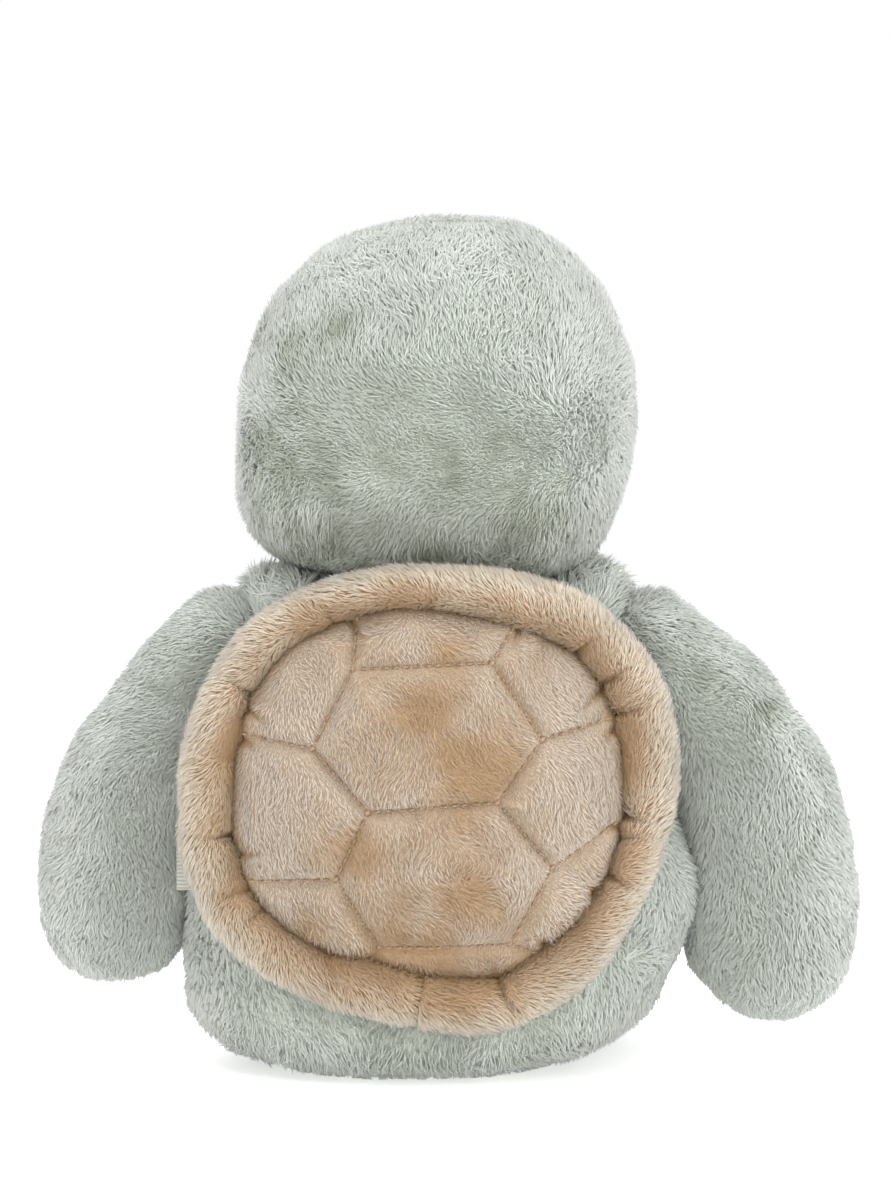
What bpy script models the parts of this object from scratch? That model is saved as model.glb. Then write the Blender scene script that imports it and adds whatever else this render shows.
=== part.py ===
"""A plush turtle that sits up, facing -Y: stuffed fur skins, and a quilted shell with a rolled rim.

Lengths are metres and angles degrees. The seat is at z = 0, and +X is the turtle's left.
Every skin is a hollow bag that is open at the seam where it is sewn on, and its stuffing is a
solid of its own inside. Names ending in share or shares hold parts of the sizes they follow.
"""
import math

import bmesh
import bpy
from mathutils import Matrix, Vector

# General sizes
GAP = 0.0003
SKIN_WALL = 0.003
THREAD_DIAMETER = 0.0014
OVERRUN = 0.004
BALL_SIDES = 24
TURNED_SIDES = 16
THREAD_SIDES = 5
ROOT_STEPS = 3
TIP_ANGLES = (30, 55, 75)
SMOOTH_ANGLE = 50
UP = Vector((0, 0, 1))
FRONT = Vector((0, -1, 0))
LEFT = Vector((1, 0, 0))

# Body, an egg that is flat under the seat and flat behind the shell
BODY_Y = 0.020
BODY_HEIGHT = 0.158
BODY_HALF_WIDTH = 0.079
BODY_HALF_DEPTH = 0.050
BODY_FLAT_BACK = 0.042
BODY_SQUARENESS = 2.3
BODY_SIDES = 20
BODY_HEIGHT_SHARES = (0, 0.02, 0.07, 0.15, 0.25, 0.37, 0.50, 0.62, 0.73, 0.82, 0.90, 0.96, 0.99)
BODY_WIDTH_SHARES = (0.42, 0.57, 0.76, 0.91, 0.985, 1, 0.93, 0.80, 0.73, 0.74, 0.71, 0.57, 0.33)
BODY_DEPTH_SHARES = (0.50, 0.68, 0.84, 0.93, 0.98, 1, 0.98, 0.93, 0.85, 0.75, 0.60, 0.40, 0.21)
PELLET_BAG_TOP = 0.024

# Neck, a ball of stuffed skin in a dish of the body, with the seam's thread between them
NECK_HEIGHT = 0.176
NECK_Y = 0.018
NECK_RADIUS = 0.026
NECK_MOUTH_RADIUS = 0.012
NECK_SEAM_RADIUS = 0.016
NECK_FOOT_ANGLE = 62
SEAM_ROOM = THREAD_DIAMETER + 2 * GAP

# Head, broad and a little square, fuller low at the cheeks
HEAD_HEIGHT = 0.271
HEAD_Y = 0.010
HEAD_HALF_WIDTH = 0.0592
HEAD_HALF_DEPTH = 0.057
HEAD_SQUARENESS = 2.4
HEAD_SIDES = 20
HEAD_LEAN = 0.006
HEAD_HEIGHT_SHARES = (0.02, 0.06, 0.12, 0.20, 0.31, 0.44, 0.57, 0.70, 0.82, 0.91, 0.97, 0.993)
HEAD_WIDTH_SHARES = (0.78, 0.86, 0.94, 0.99, 1, 1, 0.99, 0.93, 0.83, 0.66, 0.43, 0.21)
HEAD_DEPTH_SHARES = (0.62, 0.76, 0.87, 0.95, 0.99, 1, 0.98, 0.91, 0.80, 0.63, 0.41, 0.20)

# Arms, which leave the shoulder sideways and bend down beside the body
SHOULDER_X = 0.0715
SHOULDER_Y = BODY_Y
SHOULDER_HEIGHT = 0.134
SHOULDER_RADIUS = 0.019
SHOULDER_MOUTH_RADIUS = 0.009
SHOULDER_SEAM_RADIUS = 0.011
ARM_LEFT_LENGTH = 0.093
ARM_RIGHT_LENGTH = 0.101
ARM_HALF_WIDTH = 0.0225
ARM_TIP_LENGTH = 0.020
ARM_START_ANGLE = 44
ARM_END_ANGLE = 98
ARM_SIDES = 14
ARM_WIDTH_SHARES = (0.80, 0.80, 0.85, 0.94, 1.02, 1.03, 1)
ARM_THICKNESS_SHARE = 0.82
ARM_LEFT_SPREAD = 2
ARM_RIGHT_SPREAD = 2

# Legs, stretched forward on the ground
HIP_X = 0.038
HIP_Y = -0.022
LEG_HALF_WIDTH = 0.0235
SEAT_CUT = 0.0005
HIP_HEIGHT = LEG_HALF_WIDTH - SEAT_CUT
HIP_MOUTH_RADIUS = 0.010
HIP_SEAM_RADIUS = 0.013
LEG_LENGTH = 0.051
LEG_TIP_LENGTH = 0.020
LEG_SPLAY = 9
LEG_SIDES = 14
LEG_WIDTH_SHARES = (1, 0.97, 0.96, 1, 1.07, 1.12)

# Shell, a quilted cushion on a backing, inside a stuffed roll
SHELL_HEIGHT = 0.0935
SHELL_HALF_WIDTH = 0.058
SHELL_HALF_HEIGHT = 0.0565
SHELL_BULGE = 0.030
SHELL_SQUARENESS = 2.2
SHELL_WALL = 0.002
BACKING_THICKNESS = 0.0012
CHANNEL_DEPTH = 0.0028
CHANNEL_HALF_WIDTH = 0.0045
SHELL_EDGE_SHARE = 0.30
EDGE_STEPS = 5
QUILT_THREAD_ROOM = 0.0008
CROWN_POWER = 2.6
CROWN_ROUNDNESS = 0.62
CHANNEL_FADE = 8
SHELL_FOOT_SHARE = 0.1
RIM_RADIUS = 0.0093
RIM_ROOM = 0.0008
RIM_WALL = 0.0018
RIM_WRAP = 0.005
RIM_LOOK = 6
RIM_STEPS = 36
RIM_SIDES = 8
RIM_SLOT_SHARE = 0.12
RIM_SLOT_ANGLE = 207
RIM_CREASE_ANGLES = (27, 51, 62, 92, 146, 186, 203, 268, 298, 340, 357)
RIM_CREASE_WIDTH = 9
RIM_CREASE_SHARE = 0.13

# Face, belly and label
EYE_RADIUS = 0.0065
EYE_DOME = 0.0050
EYE_SHANK_RADIUS = 0.0022
EYE_SHANK_LENGTH = 0.013
EYE_ANGLE = 46
EYE_HEIGHT_SHARE = 0.47
WASHER_RADIUS = 0.0085
WASHER_THICKNESS = 0.0012
WASHER_DROP = 4 * GAP + WASHER_RADIUS ** 2 / HEAD_HALF_DEPTH
EYE_STEPS = 4
BELLY_THICKNESS = 0.0015
BELLY_STAND = 0.0007
BELLY_ROWS = 10
BELLY_COLUMNS = 14
BELLY_BOTTOM = 0.050
BELLY_TOP = 0.128
BELLY_ANGLE = 50
BELLY_ROUNDNESS = 0.6
MOUTH_ANGLE = 24
MOUTH_HEIGHT_SHARE = 0.27
MOUTH_SAG_ROWS = 0.5
MOUTH_POINTS = 13
NOSTRIL_ANGLE = 5
NOSTRIL_HEIGHT_SHARE = 0.40
NOSTRIL_LENGTH = 0.003
NOSTRIL_POINTS = 3
LABEL_Y = 0.050
LABEL_REACH = 0.083
LABEL_HEIGHT = 0.014
LABEL_THICKNESS = 0.0008
LABEL_CENTRE_HEIGHT = 0.068

# Seams of the shell as shares of its half width and half height from its centre
SHELL_SEAM_SHARES = {
    "top_left": (0.41, 0.72),
    "top_right": (-0.33, 0.755),
    "right": (-0.60, 0.34),
    "middle_right": (-0.36, 0),
    "middle_left": (0.33, -0.055),
    "left": (0.625, 0.29),
    "low_right": (-0.655, -0.37),
    "bottom_right": (-0.43, -0.80),
    "bottom_left": (0.27, -0.825),
    "low_left": (0.50, -0.43),
}
UPPER_PANEL = ("top_left", "top_right", "right", "middle_right", "middle_left", "left")
LOWER_PANEL = (
    "middle_left", "middle_right", "low_right", "bottom_right", "bottom_left", "low_left",
)
EDGE_ANGLES = {
    "top_left": 68, "top_right": 116, "right": 156, "low_right": 188,
    "bottom_right": 236, "bottom_left": 290, "low_left": 335, "left": 19,
}
EDGE_PANELS = (
    ("top_left", "top_right"),
    ("top_right", "right"),
    ("right", "middle_right", "low_right"),
    ("low_right", "bottom_right"),
    ("bottom_right", "bottom_left"),
    ("bottom_left", "low_left"),
    ("low_left", "middle_left", "left"),
    ("left", "top_left"),
)

# Colours
SAGE = (0.50, 0.57, 0.50)
TAN = (0.66, 0.46, 0.29)
SAND = (0.70, 0.53, 0.36)
WADDING = (0.86, 0.86, 0.84)
LINEN = (0.60, 0.58, 0.52)
THREAD_BROWN = (0.50, 0.32, 0.17)
BLACK = (0.01, 0.01, 0.012)
CLEAR_PLASTIC = (0.80, 0.80, 0.78)
EYE_ROUGHNESS = 0.15
WASHER_ROUGHNESS = 0.4


def clear_scene():
    """Remove every object that the file opened with."""
    for found in list(bpy.data.objects):
        bpy.data.objects.remove(found, do_unlink=True)


def material(name, colour, roughness=0.9):
    """A Principled material of one colour."""
    made = bpy.data.materials.get(name) or bpy.data.materials.new(name)
    made.use_nodes = True
    shader = made.node_tree.nodes["Principled BSDF"]
    shader.inputs["Base Color"].default_value = (*colour, 1)
    shader.inputs["Roughness"].default_value = roughness
    return made


def place(name, mesh_data, colour, parent=None, roughness=0.9):
    """Finish a bmesh as a named, smooth object, under its joint's empty if it has one."""
    mesh = bpy.data.meshes.new(name)
    bmesh.ops.recalc_face_normals(mesh_data, faces=mesh_data.faces)
    mesh_data.to_mesh(mesh)
    mesh_data.free()
    mesh.shade_smooth()
    mesh.set_sharp_from_angle(angle=math.radians(SMOOTH_ANGLE))
    mesh.materials.append(material(f"{name}_finish", colour, roughness))
    made = bpy.data.objects.new(name, mesh)
    bpy.context.collection.objects.link(made)
    if parent:
        made.parent = parent
        made.matrix_parent_inverse = Matrix.Translation(-parent.location)
    return made


def pivot(name, point, parent=None):
    """An empty on a joint's axis, which carries the pieces that turn there."""
    made = bpy.data.objects.new(name, None)
    made.location = point
    bpy.context.collection.objects.link(made)
    if parent:
        made.parent = parent
        made.matrix_parent_inverse = Matrix.Translation(-parent.location)
    bpy.context.view_layer.update()
    return made


def cut(target, cutter):
    """Take the cutter's shape out of the target, and hide the cutter."""
    cutter.hide_render = True
    cutter.display_type = "WIRE"
    modifier = target.modifiers.new(f"less_{cutter.name}", "BOOLEAN")
    modifier.operation = "DIFFERENCE"
    modifier.solver = "EXACT"
    modifier.object = cutter


class Form:
    """A stuffed shape: stations along a line, each a centre, three directions and two half sizes.

    A station is (centre, side, across, along, half_side, half_across, travelled), where travelled
    is its distance along the line. The ends are points, first_tip and last_tip, or None where the
    shape stops at its first or last station.
    """

    def __init__(self, stations, squareness, sides, first_tip=None, last_tip=None, keep=None):
        self.stations = stations
        self.squareness = squareness
        if not isinstance(squareness, list):
            self.squareness = [squareness] * len(stations)
        self.sides = sides
        self.first_tip = first_tip
        self.last_tip = last_tip
        self.keep = keep or (lambda point, inset: point)

    def slope(self, index):
        """The outward normal of the profile at a station, as its parts sideways and along."""
        here = self.stations[index]
        before = self.stations[index - 1] if index else None
        after = self.stations[index + 1] if index + 1 < len(self.stations) else None
        low = (before[4], before[6]) if before else (here[4], here[6])
        high = (after[4], after[6]) if after else (here[4], here[6])
        if not before and self.first_tip:
            low = (0, (self.first_tip - here[0]).dot(here[3]) + here[6])
        if not after and self.last_tip:
            high = (0, (self.last_tip - here[0]).dot(here[3]) + here[6])
        run = Vector((high[1] - low[1], low[0] - high[0])).normalized()
        return run.x, run.y

    def ring(self, index, inset=0):
        """The points round one station, drawn in by inset."""
        centre, side, across, along, half_side, half_across, _ = self.stations[index]
        sideways, lengthways = self.slope(index)
        centre = centre - along * inset * lengthways
        half_side -= inset * sideways
        half_across -= inset * sideways
        points = []
        for step in range(self.sides):
            turn = math.tau * step / self.sides
            points.append(self.keep(
                centre + self.oval(index, turn, side * half_side, across * half_across), inset))
        return points

    def oval(self, index, turn, side, across):
        """A point of a station's rounded square, which has the given half sizes."""
        power = 2 / self.squareness[index]
        cosine, sine = math.cos(turn), math.sin(turn)
        return (side * math.copysign(abs(cosine) ** power, cosine)
                + across * math.copysign(abs(sine) ** power, sine))

    def surface(self, station_place, turn, lift=0):
        """The point and outward direction at a place between stations and a turn round them."""
        index = min(int(station_place), len(self.stations) - 2)
        part = station_place - index
        ends = []
        for number in (index, index + 1):
            centre, side, across, along, half_side, half_across, _ = self.stations[number]
            ends.append((centre, centre + self.oval(
                number, turn, side * half_side, across * half_across)))
        point = ends[0][1].lerp(ends[1][1], part)
        middle = ends[0][0].lerp(ends[1][0], part)
        sideways = [self.slope(number) for number in (index, index + 1)]
        out = (point - middle).normalized() * (
            sideways[0][0] * (1 - part) + sideways[1][0] * part)
        out += self.stations[index][3] * (sideways[0][1] * (1 - part) + sideways[1][1] * part)
        out.normalize()
        return point + out * lift, out

    def place_at(self, height):
        """Where between the stations the form's line passes a height."""
        for index in range(len(self.stations) - 1):
            low, high = self.stations[index][0].z, self.stations[index + 1][0].z
            if low <= height <= high:
                return index + (height - low) / (high - low)
        return len(self.stations) - 1


def add_ring(mesh, points):
    return [mesh.verts.new(point) for point in points]


def join_rings(mesh, first, second):
    """Triangles between two rings of as many points, split the same way on every layer."""
    count = len(first)
    for step in range(count):
        after = (step + 1) % count
        mesh.faces.new((first[step], first[after], second[after]))
        mesh.faces.new((first[step], second[after], second[step]))


def fan(mesh, ring, tip):
    """Triangles from a ring to one point."""
    apex = mesh.verts.new(tip)
    for step, vert in enumerate(ring):
        mesh.faces.new((vert, ring[(step + 1) % len(ring)], apex))


def cover(form, wall):
    """A form's skin: a bag of the given wall, open at its first station."""
    mesh = bmesh.new()
    outer = [add_ring(mesh, form.ring(n)) for n in range(len(form.stations))]
    inner = [add_ring(mesh, form.ring(n, wall)) for n in range(len(form.stations))]
    for rings, inset in ((outer, 0), (inner, wall)):
        for first, second in zip(rings, rings[1:]):
            join_rings(mesh, first, second)
        along = form.stations[-1][3]
        fan(mesh, rings[-1], form.keep(form.last_tip - along * inset, inset))
    join_rings(mesh, outer[0], inner[0])
    return mesh


def filling(form, inset):
    """A solid that fills a form up to inset from its surface."""
    mesh = bmesh.new()
    rings = [add_ring(mesh, form.ring(n, inset)) for n in range(len(form.stations))]
    for first, second in zip(rings, rings[1:]):
        join_rings(mesh, first, second)
    first, last = form.stations[0], form.stations[-1]
    start = form.first_tip + first[3] * inset if form.first_tip else first[0] + first[3] * inset
    fan(mesh, rings[0], form.keep(start, inset))
    fan(mesh, rings[-1], form.keep(form.last_tip - last[3] * inset, inset))
    return mesh


def shut_skin(form, wall):
    """A skin that is closed at both ends until its seams are cut into it."""
    mesh = filling(form, 0)
    inner = filling(form, wall)
    bmesh.ops.recalc_face_normals(mesh, faces=mesh.faces)
    bmesh.ops.recalc_face_normals(inner, faces=inner.faces)
    return mesh, inner


def ball(name, centre, radius):
    """A sphere whose flats lie no nearer than its radius, for cutting seats in softer pieces."""
    mesh = bmesh.new()
    reach = radius / math.cos(math.pi / BALL_SIDES) ** 2
    bmesh.ops.create_uvsphere(mesh, u_segments=BALL_SIDES, v_segments=BALL_SIDES // 2,
                              radius=reach, matrix=Matrix.Translation(centre))
    return place(name, mesh, WADDING)


def rod(name, centre, direction, radius, length, colour=WADDING, sides=TURNED_SIDES):
    """A round bar that starts at a centre and runs in a direction."""
    mesh = bmesh.new()
    turn = direction.to_track_quat("Z", "Y").to_matrix().to_4x4()
    middle = Matrix.Translation(centre + direction * length / 2)
    bmesh.ops.create_cone(mesh, cap_ends=True, segments=sides, radius1=radius, radius2=radius,
                          depth=length, matrix=middle @ turn)
    return place(name, mesh, colour)


def turned(name, origin, direction, profile, colour, parent=None, sides=TURNED_SIDES, roughness=0.9):
    """A turned piece: the profile's pairs are its radius and its distance along the direction."""
    mesh = bmesh.new()
    frame = direction.to_track_quat("Z", "Y")
    rings = []
    tips = []
    for radius, along in profile:
        if radius:
            rings.append(add_ring(mesh, [
                origin + direction * along + frame @ Vector((
                    radius * math.cos(math.tau * step / sides),
                    radius * math.sin(math.tau * step / sides), 0))
                for step in range(sides)]))
        else:
            tips.append(origin + direction * along)
    for first, second in zip(rings, rings[1:]):
        join_rings(mesh, first, second)
    if tips:
        fan(mesh, rings[0], tips[0])
        fan(mesh, rings[-1], tips[1])
    else:
        join_rings(mesh, rings[-1], rings[0])
    return place(name, mesh, colour, parent, roughness)


def thread(name, points, diameter, colour, closed=False, parent=None,
           sides=THREAD_SIDES, normals=None):
    """A sewn thread as a tube through its points, each with the surface's direction there."""
    mesh = bmesh.new()
    rings = []
    count = len(points)
    for number, point in enumerate(points):
        before = points[number - 1] if closed or number else point
        after = points[(number + 1) % count] if closed or number + 1 < count else point
        along = (after - before).normalized()
        across = along.cross(normals[number]).normalized()
        up = across.cross(along).normalized()
        rings.append(add_ring(mesh, [
            point + (across * math.cos(math.tau * (step + 0.5) / sides)
                     + up * math.sin(math.tau * (step + 0.5) / sides)) * diameter / 2
            for step in range(sides)]))
    for first, second in zip(rings, rings[1:]):
        join_rings(mesh, first, second)
    if closed:
        join_rings(mesh, rings[-1], rings[0])
    else:
        mesh.faces.new(rings[0])
        mesh.faces.new(rings[-1])
    return place(name, mesh, colour, parent)


def seam_ring(name, centre, radius, into, ring_radius, parent=None):
    """The thread that sews a ball to its dish, midway between them on the side they meet."""
    middle = radius + GAP + THREAD_DIAMETER / 2
    origin = centre + into * math.sqrt(middle ** 2 - ring_radius ** 2)
    frame = into.to_track_quat("Z", "Y")
    points, normals = [], []
    for step in range(BALL_SIDES):
        turn = math.tau * step / BALL_SIDES
        point = origin + frame @ Vector((
            ring_radius * math.cos(turn), ring_radius * math.sin(turn), 0))
        points.append(point)
        normals.append((point - centre).normalized())
    return thread(name, points, THREAD_DIAMETER, SAGE, True, parent, 4, normals)


def body_form():
    """The body's egg, kept off the ground plane and off the shell's flat."""
    def keep(point, inset):
        point = point.copy()
        point.y = min(point.y, BODY_Y + BODY_FLAT_BACK - inset)
        point.z = max(point.z, inset)
        return point

    stations = []
    for high, wide, deep in zip(BODY_HEIGHT_SHARES, BODY_WIDTH_SHARES, BODY_DEPTH_SHARES):
        centre = Vector((0, BODY_Y, high * BODY_HEIGHT))
        stations.append((centre, LEFT, FRONT, UP, wide * BODY_HALF_WIDTH,
                         deep * BODY_HALF_DEPTH, centre.z))
    return Form(stations, BODY_SQUARENESS, BODY_SIDES, Vector((0, BODY_Y, 0)),
                Vector((0, BODY_Y, BODY_HEIGHT)), keep)


def head_form():
    """The head, whose foot is the neck's ball and whose mouth is the neck's seam."""
    neck = Vector((0, NECK_Y, NECK_HEIGHT))
    stations = []
    start = math.asin(NECK_MOUTH_RADIUS / NECK_RADIUS)
    foot_turn = math.radians(NECK_FOOT_ANGLE)
    for step in range(ROOT_STEPS + 1):
        turn = start + (foot_turn - start) * step / ROOT_STEPS
        radius = NECK_RADIUS * math.sin(turn)
        centre = neck - UP * NECK_RADIUS * math.cos(turn)
        stations.append((centre, LEFT, FRONT, UP, radius, radius, centre.z))
    rise = HEAD_HEIGHT - NECK_HEIGHT + NECK_RADIUS * math.cos(foot_turn)
    foot = stations[-1][0].z
    squareness = [2] * len(stations)
    for high, wide, deep in zip(HEAD_HEIGHT_SHARES, HEAD_WIDTH_SHARES, HEAD_DEPTH_SHARES):
        blend = min(high / HEAD_HEIGHT_SHARES[2], 1)
        centre = Vector((HEAD_LEAN * (0.5 - high) * blend, NECK_Y + (HEAD_Y - NECK_Y) * blend,
                         foot + high * rise))
        stations.append((centre, LEFT, FRONT, UP, wide * HEAD_HALF_WIDTH,
                         deep * HEAD_HALF_DEPTH, centre.z))
        squareness.append(2 + (HEAD_SQUARENESS - 2) * blend)
    return Form(stations, squareness, HEAD_SIDES, None,
                Vector((-HEAD_LEAN / 2, HEAD_Y, HEAD_HEIGHT)))


def rounded_root(centre, along, side, across, radius, mouth_radius):
    """Stations of the half ball at a limb's root, from its mouth to its widest."""
    stations = []
    start = math.asin(mouth_radius / radius)
    for step in range(ROOT_STEPS + 1):
        turn = start + (math.pi / 2 - start) * step / ROOT_STEPS
        here = centre - along * radius * math.cos(turn)
        stations.append((here, side, across, along, radius * math.sin(turn),
                         radius * math.sin(turn), -radius * math.cos(turn)))
    return stations


def rounded_tip(centre, along, side, across, half_side, half_across, length, travelled):
    """Stations of a limb's rounded end, and its last point."""
    stations = []
    for turn in TIP_ANGLES:
        sine, cosine = math.sin(math.radians(turn)), math.cos(math.radians(turn))
        stations.append((centre + along * length * sine, side, across, along,
                         half_side * cosine, half_across * cosine, travelled + length * sine))
    return stations, centre + along * length


def arm_form(hand, length, spread):
    """An arm: a ball in the shoulder, then a bend that swells and gets flatter to its tip."""
    root = Vector((SHOULDER_X * hand, SHOULDER_Y, SHOULDER_HEIGHT))
    first = math.radians(ARM_START_ANGLE - spread)
    last = math.radians(ARM_END_ANGLE - spread)

    def heading(angle):
        return Vector((math.cos(angle) * hand, 0, -math.sin(angle)))

    def side_of(angle):
        return Vector((math.sin(angle) * hand, 0, math.cos(angle)))

    stations = rounded_root(root, heading(first), side_of(first), FRONT, SHOULDER_RADIUS,
                            SHOULDER_MOUTH_RADIUS)
    bend = length / (last - first)
    count = len(ARM_WIDTH_SHARES)
    for number, wide in enumerate(ARM_WIDTH_SHARES):
        part = (number + 1) / count
        angle = first + (last - first) * part
        centre = root + Vector((
            (math.sin(angle) - math.sin(first)) * bend * hand, 0,
            (math.cos(angle) - math.cos(first)) * bend))
        half = wide * ARM_HALF_WIDTH
        thickness = 1 + (ARM_THICKNESS_SHARE - 1) * min(part * 2, 1)
        stations.append((centre, side_of(angle), FRONT, heading(angle), half, half * thickness,
                         part * length))
    end = stations[-1]
    tips, tip = rounded_tip(end[0], end[3], end[1], end[2], end[4], end[5], ARM_TIP_LENGTH,
                            length)
    return Form(stations + tips, 2, ARM_SIDES, None, tip)


def leg_form(hand):
    """A leg: a ball in the hip, then a stub along the ground that ends in a fuller foot."""
    root = Vector((HIP_X * hand, HIP_Y, HIP_HEIGHT))
    splay = math.radians(LEG_SPLAY)
    along = Vector((math.sin(splay) * hand, -math.cos(splay), 0))
    side = Vector((math.cos(splay) * hand, math.sin(splay), 0))

    def keep(point, inset):
        point = point.copy()
        point.z = max(point.z, inset)
        return point

    stations = rounded_root(root, along, side, UP, LEG_HALF_WIDTH, HIP_MOUTH_RADIUS)
    count = len(LEG_WIDTH_SHARES)
    for number, wide in enumerate(LEG_WIDTH_SHARES):
        part = (number + 1) / count
        half = wide * LEG_HALF_WIDTH
        centre = root + along * LEG_LENGTH * part + UP * (half - LEG_HALF_WIDTH)
        stations.append((centre, side, UP, along, half, half, part * LEG_LENGTH))
    end = stations[-1]
    tips, tip = rounded_tip(end[0], along, side, UP, end[4], end[5], LEG_TIP_LENGTH, LEG_LENGTH)
    return Form(stations + tips, 2, LEG_SIDES, None, tip, keep)


def stacked(form, inset, low, high):
    """The filling of an upright form between two heights."""
    mesh = filling(form, inset)
    for height, direction in ((low, -UP), (high, UP)):
        if height is not None:
            found = bmesh.ops.bisect_plane(
                mesh, geom=mesh.verts[:] + mesh.edges[:] + mesh.faces[:],
                plane_co=UP * height, plane_no=direction, clear_outer=True)
            edges = [e for e in found["geom_cut"] if isinstance(e, bmesh.types.BMEdge)]
            bmesh.ops.contextual_create(mesh, geom=edges)
    return mesh


def build_body(form, seats):
    """The body's skin, its stuffing and the pellet bag that weighs down its seat."""
    mesh, inner = shut_skin(form, SKIN_WALL)
    skin = place("body_skin", mesh, SAGE)
    hollow = place("body_hollow", inner, WADDING)
    cut(skin, hollow)
    inset = SKIN_WALL + GAP
    stuffing = place("body_stuffing", stacked(form, inset, PELLET_BAG_TOP + GAP, None), WADDING)
    pellets = place("pellet_bag", stacked(form, inset, None, PELLET_BAG_TOP), LINEN)
    for seat in seats:
        cut(skin, seat)
        cut(stuffing, seat)
        if seat.name.startswith("hip"):
            cut(pellets, seat)


def build_limb(name, form, parent):
    """A limb's skin and its stuffing."""
    place(f"{name}_skin", cover(form, SKIN_WALL), SAGE, parent)
    place(f"{name}_stuffing", filling(form, SKIN_WALL + GAP), WADDING, parent)


def build_head(form, parent):
    """The head's skin and stuffing, with the eyes, their washers and the sewn mouth and nose."""
    skin = place("head_skin", cover(form, SKIN_WALL), SAGE, parent)
    stuffing = place("head_stuffing", filling(form, SKIN_WALL + GAP), WADDING, parent)
    span = HEAD_HEIGHT - NECK_HEIGHT
    eye_place = form.place_at(NECK_HEIGHT + EYE_HEIGHT_SHARE * span)
    for side, hand in (("left", 1), ("right", -1)):
        turn = math.radians(90 - EYE_ANGLE * hand)
        point, out = form.surface(eye_place, turn)
        build_eye(side, point, out, skin, stuffing, parent)
        nostril_place = form.place_at(NECK_HEIGHT + NOSTRIL_HEIGHT_SHARE * span)
        sewn_line(f"nostril_{side}", form, nostril_place, NOSTRIL_ANGLE * hand,
                  (NOSTRIL_ANGLE + math.degrees(NOSTRIL_LENGTH / HEAD_HALF_DEPTH)) * hand,
                  0, NOSTRIL_POINTS, parent)
    mouth_place = form.place_at(NECK_HEIGHT + MOUTH_HEIGHT_SHARE * span)
    sewn_line("mouth_stitch", form, mouth_place, -MOUTH_ANGLE, MOUTH_ANGLE, MOUTH_SAG_ROWS,
              MOUTH_POINTS, parent)


def sewn_line(name, form, where, first, last, sag, count, parent):
    """A thread on the head's front from one turn to another, hanging in the middle by sag."""
    points, normals = [], []
    for number in range(count):
        part = number / (count - 1)
        turn = math.radians(90 - first - (last - first) * part)
        point, out = form.surface(where - sag * (1 - (2 * part - 1) ** 2), turn,
                                  GAP + THREAD_DIAMETER / 2)
        points.append(point)
        normals.append(out)
    return thread(name, points, THREAD_DIAMETER, BLACK, False, parent, 5, normals)


def build_eye(side, point, out, skin, stuffing, parent):
    """A domed eye on a shank through the skin, locked by a washer inside."""
    seat = point + out * GAP
    profile = [(0, -EYE_SHANK_LENGTH), (EYE_SHANK_RADIUS, -EYE_SHANK_LENGTH),
               (EYE_SHANK_RADIUS, 0), (EYE_RADIUS, 0)]
    for step in range(1, EYE_STEPS):
        turn = math.pi / 2 * step / EYE_STEPS
        profile.append((EYE_RADIUS * math.cos(turn), EYE_DOME * math.sin(turn)))
    profile.append((0, EYE_DOME))
    turned(f"eye_{side}", seat, out, profile, BLACK, parent, TURNED_SIDES, EYE_ROUGHNESS)
    back = point - out * (SKIN_WALL + WASHER_DROP)
    hole = EYE_SHANK_RADIUS + GAP
    turned(f"eye_washer_{side}", back, out, [
        (hole, 0), (WASHER_RADIUS, 0), (WASHER_RADIUS, -WASHER_THICKNESS),
        (hole, -WASHER_THICKNESS)], CLEAR_PLASTIC, parent, TURNED_SIDES,
        WASHER_ROUGHNESS)
    start = point + out * OVERRUN
    cut(skin, rod(f"eye_hole_{side}", start, -out, hole, SKIN_WALL + 2 * OVERRUN))
    room = (start - back).length + WASHER_THICKNESS + GAP
    cut(stuffing, rod(f"eye_room_{side}", start, -out, WASHER_RADIUS + GAP, room))
    cut(stuffing, rod(f"shank_room_{side}", start, -out, hole,
                      OVERRUN + EYE_SHANK_LENGTH + GAP))


def shell_point(share_x, share_z):
    """A place on the shell's plan, from shares of its half sizes."""
    return Vector((share_x * SHELL_HALF_WIDTH, 0, share_z * SHELL_HALF_HEIGHT))


def edge_point(angle):
    """A place on the shell's edge, a slightly squared oval."""
    turn = math.radians(angle)
    power = 2 / SHELL_SQUARENESS
    return Vector((
        SHELL_HALF_WIDTH * math.copysign(abs(math.cos(turn)) ** power, math.cos(turn)), 0,
        SHELL_HALF_HEIGHT * math.copysign(abs(math.sin(turn)) ** power, math.sin(turn))))


def split_line(first, last, count):
    return [first.lerp(last, step / count) for step in range(count)]


def split_edge(first_angle, last_angle, count):
    return [edge_point(first_angle + (last_angle - first_angle) * step / count)
            for step in range(count)]


def seam_line(first, last):
    """The points of one sewn line of the shell, without its end."""
    return split_line(shell_point(*SHELL_SEAM_SHARES[first]),
                      shell_point(*SHELL_SEAM_SHARES[last]), 4)


def ray_line(name):
    """The points of the short sewn line from a corner of a panel to the shell's edge."""
    corner = shell_point(*SHELL_SEAM_SHARES[name])
    return split_line(corner, edge_point(EDGE_ANGLES[name]), 2)


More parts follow.
